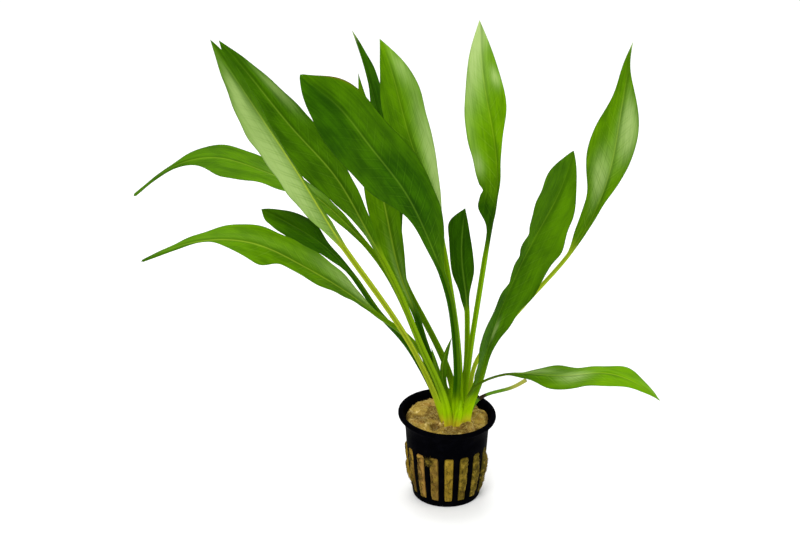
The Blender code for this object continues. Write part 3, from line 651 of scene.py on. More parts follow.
def leaf_piece(name, leaf, material, slot):
    """Closes the rings of a leaf at its foot and tip, and keeps its numbers for the finish."""
    points, fields = leaf_skin(**{key: leaf[key] for key in leaf if key != "colour"})
    skin, faces = closed_skin(points[:-1], points[0].mean(0), points[-1].mean(0))
    seen, across, blade = LOOKS[name], fields["across"], fields["blade"]
    foot_edge = np.exp(-(fields["distance"] / 26) ** 4) * np.clip(-across, 0, 1) ** 2
    fields["pale"] = patches(across, blade, seen["pale"])
    fields["tone"] = spread(seen["tones"], blade[:, 0]) + seen["slope"] * np.tanh(3 * across)
    # Painted shade: the shade patches darken the tone where the leaf lies in shadow.
    fields["tone"] -= patches(across, blade, seen["shade"])
    fields["rib"] = spread(seen["rib"], blade[:, 0]) + 0 * blade
    fields["stem"], fields["yellow"] = seen["stem"] + 0 * blade, seen["yellow"] + 0 * blade
    fields["brown"] = patches(across, blade, seen["brown"]) + seen["brown_foot"] * foot_edge
    kept = {label: np.concatenate([values[:-1].ravel(), [values[0].mean(), values[-1].mean()]])
            for label, values in fields.items()}
    return make_piece(name, skin, faces, material, slot, name, **kept)


# %% [markdown]
# The finish of a leaf follows its growth. The base is yellow where the wool kept the light away,
# then lime, then green. The blade is a cloudy green with fine streaks along it. A pale midrib runs
# up the middle, long veins arch beside it, and thin cross veins slant between them. A veined
# picture could be laid on instead, but sums on the distance from the midrib stay sharp at any
# size. The gloss is kept low, because white paper all round would veil the green in grey, and the
# sheen of the wax is painted on as pale patches instead.

# %% The leaves' finish
leaf_paint = Paint("sword plant green")
across, half, distance, blade = map(leaf_paint.field, ("across", "half_width", "distance", "blade"))
tone, pale, rib, underside = map(leaf_paint.field, ("tone", "pale", "rib", "underside"))
from_rib, to_right = abs(across) * half, across * half


def by_tone(deep, bright):
    """A colour between a deep and a bright one, by the leaf's tone at each point."""
    return leaf_paint.blend(tone, deep, bright)


def stretched(detail, steps_across, steps_along):
    """Noise drawn out along the leaf, with this many steps to a millimetre each way."""
    place = leaf_paint.node("ShaderNodeCombineXYZ", values={
        "X": to_right * steps_across, "Y": distance * steps_along})
    return leaf_paint.noise(1.0, detail, vector=place)


# The blade's green, cloudy and streaked, with a pale painted sheen where its wax would catch light.
streaks, blotches = stretched(3, 1.1, 0.06), stretched(2, 0.16, 0.035)
clouds = leaf_paint.noise(14, 2)
patchy = (clouds * 0.3 + blotches * 0.4 + streaks * 0.3).rise(0.36, 0.64)
body = leaf_paint.blend(patchy, by_tone((28, 64, 0), (80, 126, 0)),
                        by_tone((48, 92, 0), (108, 156, 2)))
waxy = (pale * (streaks * 0.9 + 0.55)).rise(0.0, 1.05)
print("nodes in the blade's green:", len(leaf_paint.material.node_tree.nodes))

# %% [markdown]
# Veins come next: the long ones keep their share of the blade's width and so arch from its foot to
# its tip, and the cross veins leave the midrib at a slant, each with a little painted shade beside
# it. All are lines of constant width in millimetres, which fade towards the tip. Then the painted
# sheen, the veins with their painted shade, the midrib with painted shade on its right side, the
# edge and the stem's own greens are laid over the blade's green, one by one.

# %% Veins, stalk and base of the leaves
wander = leaf_paint.noise(9, 2) * 0.24 - 0.12
beside_vein = ((distance - from_rib * VEIN_SLANT) / VEIN_STEP + wander).ripple()
cross = beside_vein.rise(0.12, 0.02) * abs(across).rise(0.9, 0.3) * from_rib.rise(0.4, 1.2)
long_veins = (abs(abs(across) - 0.36) * half).rise(0.35, 0.0)
long_veins = long_veins + (abs(abs(across) - 0.68) * half).rise(0.3, 0.0) * 0.7
veins = (cross * 0.55 + long_veins * 0.35) * blade.rise(0.0, 0.06) * (1 - blade)
vein_shade = beside_vein.rise(0.1, 0.2) * beside_vein.rise(0.55, 0.25) * (1 - blade)
vein_shade = vein_shade * abs(across).rise(0.95, 0.4) * from_rib.rise(0.6, 1.6)
vein_shade = vein_shade * blade.rise(0.0, 0.1)
rib_shade = to_right.rise(0.1, 0.6) * to_right.rise(2.6, 0.9) * blade.rise(0.0, 0.05)
midrib = from_rib.rise(0.5 + rib * 0.6, 0.15) * blade.rise(0.0, 0.03) * blade.rise(1.0, 0.7) * rib

# Painted light: each stem is lighter on its right side, as if lit from there.
stem = leaf_paint.field("stem") + streaks * 0.3 + across.rise(-0.3, 0.3) * 0.24 - 0.27
stem_green = leaf_paint.blend(stem, (34, 74, 0), (118, 160, 4))
stem_green = leaf_paint.blend(leaf_paint.field("yellow"), stem_green, (162, 168, 40))
body = leaf_paint.coats(
    body,
    # Painted sheen: pale where the wax on the blade would mirror the lamps.
    (waxy, by_tone((124, 152, 76), (162, 188, 112))),
    (vein_shade * 0.4, by_tone((22, 54, 0), (78, 120, 0))),
    (veins * 0.55, by_tone((78, 128, 20), (160, 192, 70))),
    (rib_shade * 0.35, by_tone((20, 52, 0), (60, 100, 0))),
    (midrib, by_tone((104, 144, 36), (186, 200, 60))),
    (abs(across).rise(0.93, 1.0) * 0.4, by_tone((28, 60, 2), (66, 108, 8))),
    (underside * 0.2, by_tone((70, 108, 36), (116, 152, 60))),
    (blade.rise(0.10, 0.0), stem_green),
    ((distance + clouds * 12).rise(38, 15) * 0.9, (162, 206, 0)),
    ((distance + clouds * 6).rise(17, 8), (214, 204, 44)),
    (leaf_paint.field("brown"), (128, 84, 26)))
leaf_green = leaf_paint.finish(
    Base_Color=body, Roughness=0.4 + streaks * 0.16, Specular_IOR_Level=0.016,
    Normal=leaf_paint.bump(streaks * 0.35 - veins * 0.5 + clouds * 0.2, 0.25))
print("nodes in the leaves' whole finish:", len(leaf_paint.material.node_tree.nodes))

# %% Grow the leaves
SLOTS_BY_COLOUR = {"dark": "leaf_dark", "bright": "leaf_bright", "young": "young_green"}
for name, leaf in LEAVES.items():
    leaf_piece(name, leaf, leaf_green, SLOTS_BY_COLOUR[leaf["colour"]])

# %% [markdown]
# A cut stalk leans out at the right of the crown, with a dark knot near its foot. A curve with a
# bevel would give a round tube, but this one is flattened, has a channel and thickens to its pale,
# slightly hollow cut, so its rings are worked out along the line as a leaf's are.

# %% The cut stalk
STALK_ROUTE = [(11.4, -5, 44), (13, -4.4, 52.4), (17, -3, 60.3), (24.5, -2, 64.3), (36, -4, 68.8),
               (44, -6, 74.6)]
KNOT = 21.0  # how far along the stalk its knot is


def stalk_tube(route, rings=60, around=20):
    """Rings about the line: an oval that thickens to its cut, with a channel and a knot."""
    share = np.linspace(0, 1, rings)
    line, side, out = leaf_axes(route, share, np.zeros((rings, 1)))
    angle = 2 * np.pi * np.arange(around) / around
    knot = np.exp(-((share * route_length(route) - KNOT) / 1.6) ** 2)
    width = (0.6 + 0.35 * np.minimum(4 * share, 1) + 0.25 * share**3 + 0.12 * knot)[:, None]
    lift = 0.9 * width * np.sin(angle) - 0.25 * np.exp(-(np.cos(angle) / 0.4) ** 2) * (
        np.sin(angle) > 0)
    points = line[:, None] + (width * np.cos(angle))[..., None] * side[:, None]
    points = points + lift[..., None] * out[:, None]
    return points, share[:, None] * np.ones(around) * route_length(route)


points, distance = stalk_tube(STALK_ROUTE)
skin, faces = closed_skin(points, points[0].mean(0), points[-3].mean(0))

stalk_paint = Paint("cut stalk green")
way, spots = stalk_paint.field("distance"), stalk_paint.noise(3)
green = stalk_paint.coats(
    stalk_paint.blend(spots, (62, 106, 6), (98, 144, 20)),
    ((way + spots * 8).rise(36, 46), (150, 152, 62)),
    ((way + spots * 6).rise(14, 2), (170, 170, 30)),
    (abs(way + spots * 2 - KNOT - 1).rise(3.4, 1.2), (40, 28, 8)))
make_piece("old_stalk", skin, faces, stalk_paint.finish(
    Base_Color=green, Roughness=0.4 + spots * 0.2, Specular_IOR_Level=0.12,
    Normal=stalk_paint.bump(spots, 0.2)),
    "young_green", "old_stalk", distance=np.append(distance.ravel(), [0, distance.max()]))

# %% [markdown]
# The wool and the pot share their measures: sixteen slots round a tapering wall. The wall's radius
# at each height, a slot's middle and a slot's half angle are given once here for both, and so is
# the slight bend of the thin collar.

# %% The pot's measures
SLOTS = 16
BAY = 2 * math.pi / SLOTS
FIRST_SLOT = math.radians(-90 + 2)
SLOT_FOOT, SLOT_HEAD = 3.4, 33.0
BEND_FOOT, POT_HEIGHT = 34.0, 51.0
OUTER_WALL = [(18.2, 0), (18.9, 0.05), (19.4, 0.6), (19.65, 2.2), (19.8, 3.4), (20, 4.4),
              (21.2, 12), (22.2, 20), (22.75, 26), (23.25, 32), (23.3, 33), (23.4, 34.2),
              (23.75, 40.6), (24.0, 42.2), (24.4, 43.8), (24.9, 45.6), (25.4, 46.8),
              (26.0, 47.6), (27.3, 48.1), (28.05, 49.0), (28.05, 50.3), (27.5, 51.0)]
INNER_WALL = [(16.6, 1.8), (17.4, 2.0), (17.9, 2.3), (18.2, 2.8), (18.5, 3.4), (18.7, 4.4),
              (19.8, 12), (20.8, 20), (21.35, 26), (21.8, 32), (21.9, 33), (22.0, 34.2),
              (22.35, 40.6), (22.7, 42.2), (23.1, 43.6), (23.5, 45.2), (23.9, 46.6),
              (24.3, 47.8), (24.6, 49), (25.0, 50.2), (25.5, 50.85), (26.3, 51.05)]
OUTER_RADII, OUTER_HEIGHTS = np.array(OUTER_WALL).T
INNER_RADII, INNER_HEIGHTS = np.array(INNER_WALL).T


def slot_half_angle(height):
    """Half of a slot's width, which grows from 4.9 to 5.8 mm upwards, over the wall's radius."""
    width = np.interp(height, [SLOT_FOOT, SLOT_HEAD], [4.9, 5.8])
    return width / 2 / np.interp(height, OUTER_HEIGHTS, OUTER_RADII)


def round_pot(radius, angle, height):
    """Points at a radius from the pot's axis, an angle about it and a height."""
    return np.stack(np.broadcast_arrays(
        radius * np.cos(angle), radius * np.sin(angle), height), -1)


def bent(points):
    """Points moved with the bent collar: it is lifted, and rises to the left and to the back."""
    x, y, z = np.moveaxis(points, -1, 0)
    share = np.clip((z - BEND_FOOT) / (POT_HEIGHT - BEND_FOOT), 0, 1)
    rise = share * share * (3 - 2 * share) * (0.8 - 0.035 * x + 0.045 * y)
    return np.stack([x, y, z + rise], -1)


print("a slot is", round(math.degrees(2 * slot_half_angle(18.0)), 1), "degrees wide halfway up")

# %% [markdown]
# Mineral wool is a felt of glassy fibres. It looks like a lumpy, creased tan cushion with loose
# hairs. It could be sculpted by hand, but here its lumps come from random numbers kept in a block
# of small cubes and blended smoothly between them, once for each size of lump. That gives the same
# wool on every run.

# %% Smooth random lumps
def lumps(points, size, seed):
    """Noise from -1 to 1: a random number at each corner of cubes of this size, blended inside."""
    table = np.random.default_rng(seed).uniform(-1, 1, (32, 32, 32))
    cell, inside = np.divmod(np.asarray(points, float) / size, 1)
    cell, ease = cell.astype(int), inside * inside * (3 - 2 * inside)
    total = np.zeros(points.shape[:-1])
    for corner in itertools.product((0, 1), repeat=3):
        share = np.prod(np.where(corner, ease, 1 - ease), axis=-1)
        x, y, z = np.moveaxis((cell + corner) % 32, -1, 0)
        total += share * table[x, y, z]
    return total


def felt(points, coarse=1.0):
    """Lumps of four sizes, plus torn plates with steep edges, less narrow creases, in mm.

    A plate is raised where a fifth noise is above nought. A crease runs where a sixth crosses
    nought, except where a seventh is low.
    """
    rough = coarse * (1.4 * lumps(points, 9.0, 1) + 1.0 * lumps(points, 4.4, 2))
    rough = rough + 0.3 * lumps(points, 2.0, 3) + 0.12 * lumps(points, 0.9, 4)
    torn = 0.7 * coarse * np.tanh(7 * lumps(points, 7.5, 7))
    crease = np.exp(-(lumps(points, 5.5, 5) / 0.09) ** 2)
    return rough + torn - 0.7 * coarse * crease * (lumps(points, 9.0, 6) > -0.1)


print("the felt's height at three places in mm:", felt(10 * np.eye(3)).round(2))

# %% [markdown]
# The wrap of wool fills the pot. Its top is a surface of height over the plane, with a large lump
# at the left, a torn chunk at the right, a hollow in front, which the finish paints dark as shade,
# and a snug collar round the stems. Its side follows the pot's inner wall and swells out through
# every slot. Both are one closed skin, because the real wool is one wrap.

# %% The wool's form
CROWN = np.array([5.2, -6.6])
WOOL_LEVEL, WOOL_RADIUS, WALL_GAP = 46.9, 23.6, 0.3
# Lumps and hollows: place across and back, rise, reach across, reach back, and steepness
WOOL_LUMPS = np.array([
    (-14, 9, 3.2, 9, 9, 1), (19, 3.5, 2.8, 5.4, 4.6, 3), (-14, -7, 1.6, 6, 6, 1),
    (-5, -19, 0.8, 6, 6, 1), (-7.2, -9.8, -3.6, 2.8, 2.4, 1.5), (18, -4.4, -2.0, 6, 1.2, 1),
    (-3.4, 0, -2.6, 1.1, 5.5, 1), (-13, -1, -0.6, 7, 0.9, 1), (-17, -6, -1.0, 0.9, 5, 1),
    (8, -19, 0.9, 4, 3, 2), (16, -12, 0.8, 3.4, 3.4, 2), (3, -17, -1.2, 1.6, 1.6, 1),
    (-2.6, -9, 1.6, 2.6, 4, 1), (12.6, -10.5, 2.4, 2.6, 4, 1), (10.6, -14, 2.4, 3.6, 2.4, 1.5)])
LUMP_RISES = WOOL_LUMPS[:, 2]
# A hollow deeper than this is painted dark, as shade, in the finish.
DEEP = 1.2  # a hollow that is deeper than this looks dark


def lump_bells(x, y):
    """At each lump or hollow, a smooth bell of height 1: e to the minus its distance squared."""
    at_x, at_y, _, reach_x, reach_y, steepness = WOOL_LUMPS.T
    away = ((x[..., None] - at_x) / reach_x) ** 2 + ((y[..., None] - at_y) / reach_y) ** 2
    return np.exp(-(away**steepness))


def wool_top(x, y):
    """The level, plus felt, plus each bell times its rise, plus a collar, less a rounded brim."""
    height = WOOL_LEVEL + felt(np.stack([x, y, np.zeros_like(x)], -1), 0.75)
    height = height + lump_bells(x, y) @ LUMP_RISES
    from_crown = np.hypot(x - CROWN[0], (y - CROWN[1]) * 1.1)
    height = height + 0.8 * np.exp(-((from_crown - 7.6) / 1.8) ** 2)
    from_wall = WOOL_RADIUS - np.hypot(x, y)
    return height - 2.2 * np.exp(-(from_wall.clip(0) / 1.3) ** 2)


def wool_side(angle, height):
    """The inner wall's radius less a gap, plus, in a slot, the wall and a swelling beyond it."""
    height = height + 0 * angle
    from_middle = (angle - FIRST_SLOT + BAY / 2) % BAY - BAY / 2
    part = from_middle / slot_half_angle(height)
    ends = np.clip((height - SLOT_FOOT - 0.2) / 0.9, 0, 1)
    ends = ends * np.clip((SLOT_HEAD - 0.2 - height) / 0.9, 0, 1)
    open_way = np.clip((0.97 - np.abs(part)) / 0.2, 0, 1) ** 0.7 * np.sin(ends * np.pi / 2)
    inner = np.interp(height, INNER_HEIGHTS, INNER_RADII) - WALL_GAP
    outer = np.interp(height, OUTER_HEIGHTS, OUTER_RADII)
    belly = np.sin(np.pi * np.clip((height - SLOT_FOOT) / (SLOT_HEAD - SLOT_FOOT), 0, 1))
    swell = -0.4 + 0.5 * felt(round_pot(inner, angle, height), 0.8) + 0.3 * (1 - part**2).clip(0)
    swell = swell + 0.25 * np.sin(2.4 * np.round((angle - FIRST_SLOT) / BAY)) + 0.6 * belly
    swell = swell + 0.9 * np.cos(angle) ** 8 * np.exp(-((height - 15) / 6) ** 4)
    return inner + open_way * (outer - inner + swell.clip(-1.1, 1.4))


print("the wool's height at the crown in mm:", wool_top(*CROWN[:, None]).round(1))

# %% [markdown]
# The rings of the wool's side climb the pot's wall, with most of their points in the slots, where
# the wool swells. The rings of its top then close in on the crown.

# %% Make the wool
SLOT_STEPS, BAR_STEPS = 24, 5
in_slot = np.linspace(-1, 1, SLOT_STEPS + 1)
on_bar = np.linspace(0, 1, BAR_STEPS + 2)[1:-1]
side_heights = np.concatenate([[2.1, 2.7], np.linspace(3.3, 33.1, 92), [36, 40, 44]])[:, None]
edge = slot_half_angle(side_heights)
bay_angles = np.concatenate([in_slot * edge, edge + on_bar * (BAY - 2 * edge)], axis=1)
angles = (FIRST_SLOT + BAY * np.arange(SLOTS)[:, None] + bay_angles[:, None]).reshape(
    len(side_heights), -1)
side = round_pot(wool_side(angles, side_heights), angles, side_heights)

brim = 23.7 * np.stack([np.cos(angles[-1]), np.sin(angles[-1])], -1)
inwards = np.linspace(0, 1, 60)[:-1, None, None] ** 0.8
flat = brim + (CROWN - brim) * inwards
top = np.concatenate([flat, wool_top(flat[..., 0], flat[..., 1])[..., None]], -1)
skin, faces = closed_skin(bent(np.concatenate([side, top])), (0, 0, 2.1), (*CROWN, 46.4))

# For the finish: a point's slot, whether it is on the side, and its painted shade in hollows.
x, y, z = skin.T
bay_number = np.round((np.arctan2(y, x) - FIRST_SLOT) / BAY).astype(int) % SLOTS
on_side = np.clip((36 - z) / 2, 0, 1)
hollow = lump_bells(x, y) @ np.clip(-LUMP_RISES - DEEP, 0, None) / 2.2
pit = np.clip(2.4 * hollow * (1 - on_side) - felt(skin) / 1.6, 0, 1)
print("the wool's points:", len(skin))

# %% [markdown]
# The wool's finish mixes tan, ochre and pinkish brown in patches. Painted shade draws dark crack
# lines, also in the slots, and darkens the deep hollow in front and the top towards its right side;
# painted highlights run as thin pale fold lines. It is combed with fine streaks that stand for
# matted fibres too thin to model one by one. It doesn't shine. Down in the slots the wool is wet
# and
# stained: golden in one slot, olive or reddish in the next, so each slot has a golden share and a
# red share of its own.

# %% The wool's finish
SLOT_GOLD = np.array([1, 0.45, 0.3, 0.15, 0.4, 0.7, 0.3, 0.6, 0.2, 0.8, 0.5, 0.3, 0.75, 0.8, 0.8,
                      0.35])
SLOT_RED = np.array([0.1, 0, 0, 0, 0.3, 0.1, 0.6, 0.2, 0, 0.4, 0.2, 0, 0.1, 0.3, 0.8, 0.4])

wool_paint = Paint("tan mineral wool")
cloudy, matted = wool_paint.noise(7, 3), wool_paint.noise(0.7, 6, 0.7)
fibre_streaks = wool_paint.noise(1.0, 4, 0.65, wool_paint.node("ShaderNodeMapping", values={
    "Vector": wool_paint.place(), "Rotation": (0.4, 0.3, 0.6), "Scale": (900, 2600, 1400)}))
folds = abs(wool_paint.noise(6.5, 2.5) - 0.5)
# Thin dark crack lines of painted shade; the bump gives them relief as well.
cracks = abs(wool_paint.noise(9, 2, 0.4) - 0.47) + wool_paint.noise(11, 1).rise(0.62, 0.5) * 0.03
stain = wool_paint.coats(
    wool_paint.blend(wool_paint.field("gold"), (46, 46, 6), (134, 110, 18)),
    (wool_paint.field("red"), (160, 120, 58)),
    (wool_paint.noise(3.2, 2).rise(0.5, 0.65) * 0.5, (164, 138, 46)),
    (cracks.rise(0.03, 0.01) * 0.6, (36, 28, 6)))
tan = wool_paint.coats(
    wool_paint.blend(cloudy.rise(0.38, 0.62), (152, 124, 44), (184, 154, 66)),
    (wool_paint.noise(9, 2).rise(0.52, 0.66) * 0.6, (176, 124, 56)),
    (fibre_streaks.rise(0.4, 0.7) * 0.4, (212, 188, 108)),
    # Painted highlights: thin pale lines along the wool's fold lines.
    (folds.rise(0.035, 0.008) * cloudy.rise(0.45, 0.55), (228, 206, 132)),
    # Painted shade along the crack lines.
    (cracks.rise(0.012, 0.002) * 0.7, (104, 66, 22)),
    # Painted shade: the wool darkens towards its right side.
    (wool_paint.place_along("X").rise(0.002, 0.018) * 0.45, (126, 104, 34)),
    (wool_paint.field("on_side"), stain),
    (matted.rise(0.56, 0.4) * 0.12, (90, 64, 20)),
    # Painted shade: dark in the deep hollow in front and in low places of the top.
    (wool_paint.field("pit").rise(0.35, 1.1) * 0.75, (72, 46, 10)))
wool_finish = wool_paint.finish(
    Base_Color=tan, Roughness=0.95, Specular_IOR_Level=0.15,
    Normal=wool_paint.bump(fibre_streaks * 0.3 + matted * 0.3 + cracks.rise(0.0, 0.03) * 0.4, 0.8))
make_piece("mineral_wool", skin, faces, wool_finish, "mineral_wool", "mineral_wool",
           pit=pit, on_side=on_side, gold=SLOT_GOLD[bay_number], red=SLOT_RED[bay_number])

# %% [markdown]
# Loose fibres lie on the wool and stand out of the slots. Blender's hair could grow them, but hair
# isn't a mesh, so each fibre is a thin three-sided tube along a bent line. All of them are worked
# out as one array and kept in one piece, on the wool that carries them.

# %% Tubes about many lines
def strands(lines, radius):
    """Three-sided tubes about many lines at once: an array of strands, places along, xyz."""
    count, steps = lines.shape[:2]
    along = np.gradient(lines, axis=1)
    along /= np.linalg.norm(along, axis=2, keepdims=True)
    beside = np.cross(along, [0.31, 0.52, 0.8])
    beside /= np.linalg.norm(beside, axis=2, keepdims=True)
    up = np.cross(along, beside)
    turn = 2 * np.pi * np.arange(3)[:, None] / 3
    taper = (radius * np.sin(np.linspace(0.25, np.pi - 0.25, steps)))[None, :, None, None]
    ring = np.cos(turn) * beside[:, :, None] + np.sin(turn) * up[:, :, None]
    points = (lines[:, :, None] + taper * ring).reshape(-1, 3)
    offset = (np.arange(count) * steps * 3)[:, None, None]
    ends = np.array([[0, 2, 1], [steps * 3 - 3, steps * 3 - 2, steps * 3 - 1]])
    faces = (np.array(ring_faces(steps, 3)) + offset).reshape(-1, 4).tolist()
    return points, faces + (ends + offset).reshape(-1, 3).tolist()


# %% [markdown]
# Each fibre's place, heading, length and bend are random, but all come from one seed, so every run
# draws the same ones. They lie every way on the wool's top and stand mostly upright in the slots.

# %% Lines for the fibres
chance = np.random.default_rng(11)
STEPS = np.linspace(-0.5, 0.5, 6)[None]  # places along a fibre
MEAN_RADIUS = 22.0  # turns millimetres round the pot into an angle


def evenly(count, low, high):
    """A random number between these for each fibre."""
    return chance.uniform(low, high, (count, 1))


def about(count, middle, usual):
    """A random number for each fibre that is usually this near the middle."""
    return middle + chance.normal(0, usual, (count, 1))


def lifted(count, most):
    """How far each fibre stands off the wool: four times as far at its ends as in its middle."""
    return evenly(count, 0, most) * (1 + 2 * np.abs(STEPS)) ** 2 * 0.5


def top_strands(count):
    """Bent lines on the wool's top: a start, a heading that turns, and ends that lift a little."""
    start = 22.6 * np.sqrt(evenly(count, 0, 1))
    round_way = evenly(count, 0, 2 * np.pi)
    heading = evenly(count, 0, 2 * np.pi) + about(count, 0, 1.1) * STEPS
    length = evenly(count, 2, 7)
    x = start * np.cos(round_way) + length * STEPS * np.cos(heading)
    y = start * np.sin(round_way) + length * STEPS * np.sin(heading)
    inside = np.minimum(1, 23.2 / np.hypot(x, y))
    x, y = x * inside, y * inside
    return bent(np.stack([x, y, wool_top(x, y) + 0.05 + lifted(count, 0.5)], -1))


def slot_strands(count):
    """Bent lines on the swellings in the slots, mostly upright, with lifting ends."""
    slot = chance.integers(0, SLOTS, (count, 1))
    height = evenly(count, SLOT_FOOT + 1, SLOT_HEAD - 1)
    lean = about(count, 0, 0.7) + about(count, 0, 0.8) * STEPS
    length = evenly(count, 1.5, 6)
    up = (height + length * STEPS * np.cos(lean)).clip(SLOT_FOOT + 0.6, SLOT_HEAD - 0.6)
    across = evenly(count, -1.7, 1.7) + length * STEPS * np.sin(lean)
    angle = FIRST_SLOT + BAY * slot + across.clip(-2.0, 2.0) / MEAN_RADIUS
    return round_pot(wool_side(angle, up) + 0.05 + lifted(count, 0.35), angle, up)


def tuft(count, angle, height, reach):
    """Bent lines that start close together on the pot's wall and spread round the place."""
    lean = evenly(count, 0, 2 * np.pi) + about(count, 0, 0.9) * STEPS
    length = evenly(count, 1, 2 * reach)
    up = about(count, height, reach / 3) + length * STEPS * np.cos(lean)
    way = about(count, 0, reach / 4) + length * STEPS * np.sin(lean)
    off = 0.15 + evenly(count, 0, 0.7) * (1 - 2 * np.abs(STEPS)).clip(0.2)
    wall = np.interp(up, OUTER_HEIGHTS, OUTER_RADII)
    return round_pot(wall + off, angle + way / MEAN_RADIUS, up)


# %% [markdown]
# A tuft hangs over the bar at the left, a few fibres stick out low at the right, and a bright curl
# lies over the hollow. The fibres in the slots are stained as the wool is.

# %% Loose fibres
TUFTS = [(130, math.radians(-117.5), 30.2, 2.8), (30, math.radians(-24), 6.0, 1.6)]
along = np.linspace(0, 1, 6)
arch = np.sin(3.1 * along)
curl = np.stack([-6.4 + 4.4 * along, -11.8 - 1.6 * arch, 48.8 + 0.9 * arch], -1)
curls = curl + chance.normal(0, 0.16, (14, 1, 3))
lines = [top_strands(600), slot_strands(1000)] + [tuft(*chosen) for chosen in TUFTS] + [curls]

fibre_paint = Paint("loose wool fibres")
shade = fibre_paint.noise(2.5, 2)
fibre_colour = fibre_paint.coats(
    fibre_paint.blend(shade.rise(0.35, 0.6), (152, 120, 46), (214, 188, 106)),
    (fibre_paint.place_along("Z").rise(0.038, 0.034),
     fibre_paint.blend(shade.rise(0.35, 0.65), (66, 54, 8), (142, 120, 38))))
make_piece("wool_fibres", *strands(np.concatenate(lines), 0.1), fibre_paint.finish(
    Base_Color=fibre_colour, Roughness=0.6 + shade * 0.3, Specular_IOR_Level=0.1), "mineral_wool")

# %% [markdown]
# The net pot is moulded from black plastic in one piece. Its two walls are one grid wrapped round
# the pot, three cells to a slot, and the cells in the slots are left out. The wall's thickness
# then closes the edges of each slot. Cutting the slots with a boolean would work too, but a grid
# keeps clean rings, which a subdivision surface rounds as a mould does.

# %% The net pot's walls
BASE_WALLS = ([(7, 0), (14.5, 0)], [(7, 1.8), (14.5, 1.8)])
WALLS = np.array([BASE_WALLS[0] + OUTER_WALL, BASE_WALLS[1] + INNER_WALL], float)
COLUMN_PARTS = np.array([-1.22, -1, -0.5, 0.5, 1, 1.22])  # in half widths of a slot
BAY_COLUMNS = len(COLUMN_PARTS) + 1  # and one in the middle of the bar
SLOT_COLUMNS = (1, 2, 3)  # the cells of a bay that a slot leaves open
CLOSE = 0.01


def pot_points():
    """Both walls at every height and column; a slot's corners draw in at its head and foot."""
    heights = WALLS[0, :, 1]
    ends = (np.abs(heights - SLOT_FOOT) < CLOSE) | (np.abs(heights - SLOT_HEAD) < CLOSE)
    edge = (slot_half_angle(heights) * np.where(ends, 0.72, 1))[:, None]
    angle = np.concatenate([COLUMN_PARTS * edge, np.full_like(edge, BAY / 2)], axis=1)
    angle = FIRST_SLOT + BAY * np.arange(SLOTS)[:, None] + angle[:, None]
    radius, height = np.moveaxis(WALLS, -1, 0)[..., None]
    return bent(round_pot(radius, angle.reshape(len(heights), -1), height))


points = pot_points()
_, rows, columns, _ = points.shape
number = np.arange(2 * rows * columns).reshape(2, rows, columns)
slot_cell = np.isin(np.arange(columns) % BAY_COLUMNS, SLOT_COLUMNS)
slot_rows = (WALLS[0, :-1, 1] > SLOT_FOOT - CLOSE) & (WALLS[0, 1:, 1] < SLOT_HEAD + CLOSE)
is_open = slot_rows[:, None] & slot_cell
is_open[0] = slot_cell & (np.arange(columns) // BAY_COLUMNS % 2 == 0)  # the base's own openings
print("cells of a wall:", is_open.size, "open:", is_open.sum())

# %% [markdown]
# Each closed cell gets a face on both walls. It also gets one between them to an opening after,
# before, above or below it, and to the air over the rim. The base's openings get one towards its
# middle.

# %% The net pot's faces
def corners(wall, row, column):
    """The four corners of a cell of one wall, counted round it."""
    after = (column + 1) % columns
    return [number[wall, row, column], number[wall, row, after],
            number[wall, row + 1, after], number[wall, row + 1, column]]


def walls_of(chosen, first, second):
    """A face from the outer to the inner wall along one edge of every chosen cell."""
    row, column = np.nonzero(chosen)
    outer, inner = corners(0, row, column), corners(1, row, column)
    return np.stack([outer[first], inner[first], inner[second], outer[second]], -1).tolist()


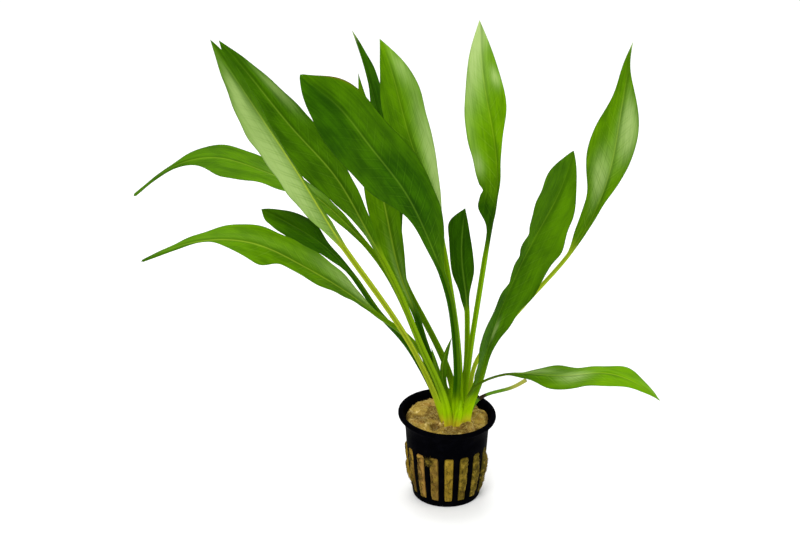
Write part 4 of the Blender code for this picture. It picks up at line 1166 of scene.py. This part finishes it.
row, column = np.nonzero(~is_open)
faces = np.stack(corners(0, row, column), -1).tolist()
faces += np.stack(corners(1, row, column)[::-1], -1).tolist()
air, none = np.ones((1, columns), bool), np.zeros((1, columns), bool)
faces += walls_of(~is_open & np.roll(is_open, -1, 1), 1, 2)
faces += walls_of(~is_open & np.roll(is_open, 1, 1), 3, 0)
faces += walls_of(~is_open & np.vstack([is_open[1:], air]), 2, 3)
faces += walls_of(~is_open & np.vstack([none, is_open[:-1]]), 0, 1)
faces += walls_of(is_open[:1], 1, 0)
faces += closing_faces(0, columns, 2 * rows * columns, turned=True)
faces += closing_faces(rows * columns, columns, 2 * rows * columns + 1)
skin = np.concatenate([points.reshape(-1, 3), [(0, 0, 0), (0, 0, 1.8)]])
print("the pot's faces before they are rounded:", len(faces))

# %% [markdown]
# Black moulded plastic isn't quite black: it has a fine mould texture, faint rubs and a little
# dust, and a soft, faintly blue sheen, which is painted into its colour as a cool blue lean. Noise
# in space makes all of these, because a picture wrapped round the pot would show a seam.

# %% The pot's finish
pot_paint = Paint("black net pot plastic")
mould, rubs = pot_paint.noise(0.35, 2), pot_paint.noise(5, 5, 0.7)
dust = pot_paint.noise(0.9, 4, 0.75).rise(0.66, 0.8) * rubs.rise(0.45, 0.7)
# A cool blue lean in the black is a painted sheen; it is lighter where the plastic is rubbed.
black = pot_paint.blend(rubs.rise(0.45, 0.75), (2, 2, 4), (6, 6, 10))
pot = make_piece("net_pot", skin, faces, pot_paint.finish(
    Base_Color=pot_paint.blend(dust * 0.06, black, (110, 100, 84)),
    Roughness=0.34 + rubs * 0.2 + dust * 0.2, Specular_IOR_Level=0.002,
    Normal=pot_paint.bump(mould * 0.6 + rubs * 0.4, 0.05)), "black_plastic", "net_pot")
rounding = pot.modifiers.new("rounded_moulding", "SUBSURF")
rounding.levels = rounding.render_levels = 2

# %% [markdown]
# The rootstock sits inside the wool and the leaf bases, so its packed form is enough. It only
# needs a finish: pale yellow with rusty scars where older leaves were.

# %% The rootstock's finish
root_paint = Paint("pale rootstock")
scars = root_paint.noise(2.2, 4)
root_colour = root_paint.blend(scars.rise(0.4, 0.65), (196, 190, 96), (140, 104, 50))
root_material = root_paint.finish(Base_Color=root_colour, Roughness=0.5 + scars * 0.3,
                                  Normal=root_paint.bump(scars, 0.4))
for material_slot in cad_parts["rootstock"].material_slots:
    material_slot.material = root_material
print("the rootstock's finish:", root_material.name)

# %% [markdown]
# Last, the size of what is shown is measured and printed, as the imported model's was at the start.

# %% Measure and finish
shown_low, shown_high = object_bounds()
print("shown size in mm:", [round(v * 1000, 1) for v in shown_high - shown_low])
